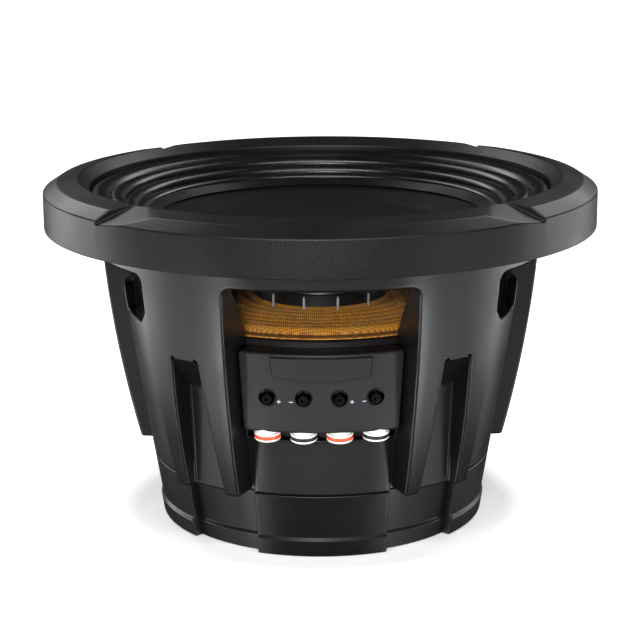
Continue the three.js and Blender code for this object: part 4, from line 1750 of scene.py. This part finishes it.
        radius, tip, head = self.thread_r, self.screw_tip, self.screw_head
        thread = [
            (radius - (0.3 if n % 2 else 0), tip + 0.6 + n * self.thread_pitch / 2)
            for n in range(13)
        ]
        screw = spun(f"set_screw_{number}_threaded", [
            (0, tip), (1.4, tip), *thread, (radius, head - 0.3), (1.7, head), (0, head),
        ], SMALL_STEPS)
        carved(screw, Cut.AWAY, hexagon(self.socket_r, head - 2.5, head + 1))
        settle(
            self.at_screw(screw, x), SHADE_PAINTED_STEEL, [f"set_screw_{number}"],
            body=f"screw_{number}",
        )

        collar = spun(f"port_collar_{number}_moulding", [
            (3.6, -3.7), (3.9, -4), (4.8, -4), (5.1, -3.7), (5.1, -3.2), (4.4, -3.2),
            (4.4, -1.7), (5.1, -1.7), (5.1, -0.8), (4.7, -0.8), (4.7, 5), (3.6, 5),
        ], SMALL_STEPS)
        settle(
            self.at_channel(collar, x), WHITE_NYLON,
            [f"port_collar_{number}"],
        )
        band = spun(f"port_band_{number}_moulding", [
            (4.6, -3.15), (5.05, -3.15), (5.1, -3.05), (5.1, -1.85), (5.05, -1.75),
            (4.6, -1.75),
        ], SMALL_STEPS)
        red = number % 2 == 1
        settle(
            self.at_channel(band, x), RED_NYLON if red else BLACK_NYLON,
            [f"port_band_{number}"],
        )

    def build_block_screws(self) -> None:
        """Make the two screws that hold the block under the ledge."""
        for n, way in enumerate((-1, 1)):
            screw = cap_screw(f"block_screw_{n + 1}_cap", 1.4, 9.5, 3.0, 2.2, 1.3)
            azimuth = way * self.ledge_screw_azimuth
            placed(screw, rotation=(180, 0, 0), location=polar(self.ledge_screw_r, azimuth, 74.7))
            settle(screw, ZINC, [f"block_screw_{n + 1}"])

    def build(self) -> None:
        """Make the block and all that is in it."""
        self.build_block()
        self.build_plate()
        self.build_marks()
        for n, x in enumerate(self.places):
            self.build_clamp(n + 1, x)
        self.build_block_screws()


# ---------------------------------------------------------------- studio


@dataclass
class Studio:
    """A pale floor with a painted contact shadow, soft lights and the camera."""

    camera_place: tuple[float, float, float] = (0.0, -0.7538, 0.2679)
    camera_tilt: float = 75.89
    camera_roll: float = -0.365
    lens: float = 105.68
    shift: float = -0.0016

    def floor(self) -> None:
        """Lay a wide pale floor under the driver, which glows less close to it as a painted contact shadow.
        """
        bpy.ops.mesh.primitive_plane_add(size=40, location=(0, 0, -0.0002))
        ground = bpy.context.object
        ground.name = "floor"
        material = bpy.data.materials.new("white studio floor with painted contact shadow")
        material.use_nodes = True
        tree = material.node_tree
        tree.nodes.clear()
        place = add_node(tree, "TexCoord").outputs["Object"]
        # Painted contact shadow: the floor glows at full strength beyond about 100 mm from the axis, and its
        # glow drops to 0.3 inside about 77 mm.
        painted_shadow_gradient = add_node(
            tree, "TexGradient", {"gradient_type": "SPHERICAL"},
            Vector=add_node(
                tree, "VectorMath", {"operation": "SCALE"}, _0=place, Scale=per_metre(160)
            ).outputs[0],
        )
        glow = add_node(
            tree, "MapRange", Value=painted_shadow_gradient.outputs["Fac"],
            From_Min=0.38, From_Max=0.52, To_Min=1.0, To_Max=0.3,
        )
        shader = add_node(
            tree, "BsdfPrincipled", Base_Color=linear("#dcdcdc"), Roughness=0.9,
            Emission_Color=linear("#ffffff"), Emission_Strength=glow.outputs["Result"],
        )
        shader.inputs["Specular IOR Level"].default_value = 0.1
        add_node(tree, "OutputMaterial", Surface=shader.outputs["BSDF"])
        ground.data.materials.append(material)
        ground.visible_glossy = False
        ground.visible_shadow = False

    def light(
        self, name: str, place: Sequence[float], target: Sequence[float],
        size: tuple[float, float], glow: float,
    ) -> None:
        """Hang a softbox that faces a point.

        Args:
            name: The light's name.
            place: Where it hangs, in metres.
            target: The point that it faces.
            size: Its width and height.
            glow: The radiance of its face.
        """
        lamp = bpy.data.lights.new(name, "AREA")
        lamp.shape = "RECTANGLE"
        lamp.size, lamp.size_y = size
        lamp.energy = glow * math.pi * size[0] * size[1]
        softbox = bpy.data.objects.new(name, lamp)
        bpy.context.scene.collection.objects.link(softbox)
        softbox.location = place
        way = Vector(target) - Vector(place)
        softbox.rotation_euler = way.to_track_quat("-Z", "Y").to_euler()

    def camera(self) -> None:
        """Set the camera in front of the driver, a little above it."""
        data = bpy.data.cameras.new("camera")
        data.lens = self.lens
        data.sensor_width = 36.0
        data.shift_x = self.shift
        data.clip_end = 100
        view = bpy.data.objects.new("camera", data)
        bpy.context.scene.collection.objects.link(view)
        tilt = Matrix.Rotation(math.radians(self.camera_tilt), 4, "X")
        roll = Matrix.Rotation(math.radians(self.camera_roll), 4, "Z")
        view.matrix_world = Matrix.Translation(self.camera_place) @ tilt @ roll
        bpy.context.scene.camera = view

    def build(self) -> None:
        """Set up the floor, the lights and the camera."""
        self.floor()
        self.camera()
        aim = (0, 0, 0.08)
        for side, name, gain in ((-1, "left", 1.0), (1, "right", 0.85)):
            x = side * 0.8
            self.light(f"{name} wall", (x, -0.3, -0.3), (0, -0.3, -0.3), (0.4, 0.5), 1.6 * gain)
            self.light(f"{name} core", (x, -0.68, -0.44), (0, -0.1, 0.08), (0.13, 0.4), 19 * gain)
            self.light(f"{name} back wall", (x, 0.35, -0.05), (0, 0.35, -0.05), (0.8, 0.5), 3.6 * gain)
            self.light(f"{name} rim", (side * 0.6, 0.85, 0.85), aim, (0.3, 0.8), 6 * gain)
        self.light("front, high", (0, -0.7, 0.95), aim, (1.2, 0.08), 40)
        self.light("front", (-0.1, -1.35, 0.42), aim, (0.35, 0.2), 44)
        self.light("front, low", (0, -0.6, -0.12), aim, (0.7, 0.14), 1.3)
        world = bpy.data.worlds.new("studio")
        world.use_nodes = True
        background = world.node_tree.nodes["Background"]
        background.inputs["Color"].default_value = linear("#ffffff")
        background.inputs["Strength"].default_value = 0.015
        bpy.context.scene.world = world
        bpy.context.scene.view_settings.view_transform = "Standard"


def main() -> None:
    """Build the driver piece by piece, and the studio round it."""
    logging.basicConfig(level=logging.INFO, format="%(message)s")
    for assembly in (
        Studio(), Basket(), TrimRing(), Motor(), Suspension(), MovingCone(), Terminals(),
    ):
        assembly.build()
        log.info("%s done", type(assembly).__name__)


if __name__ == "__main__":
    main()
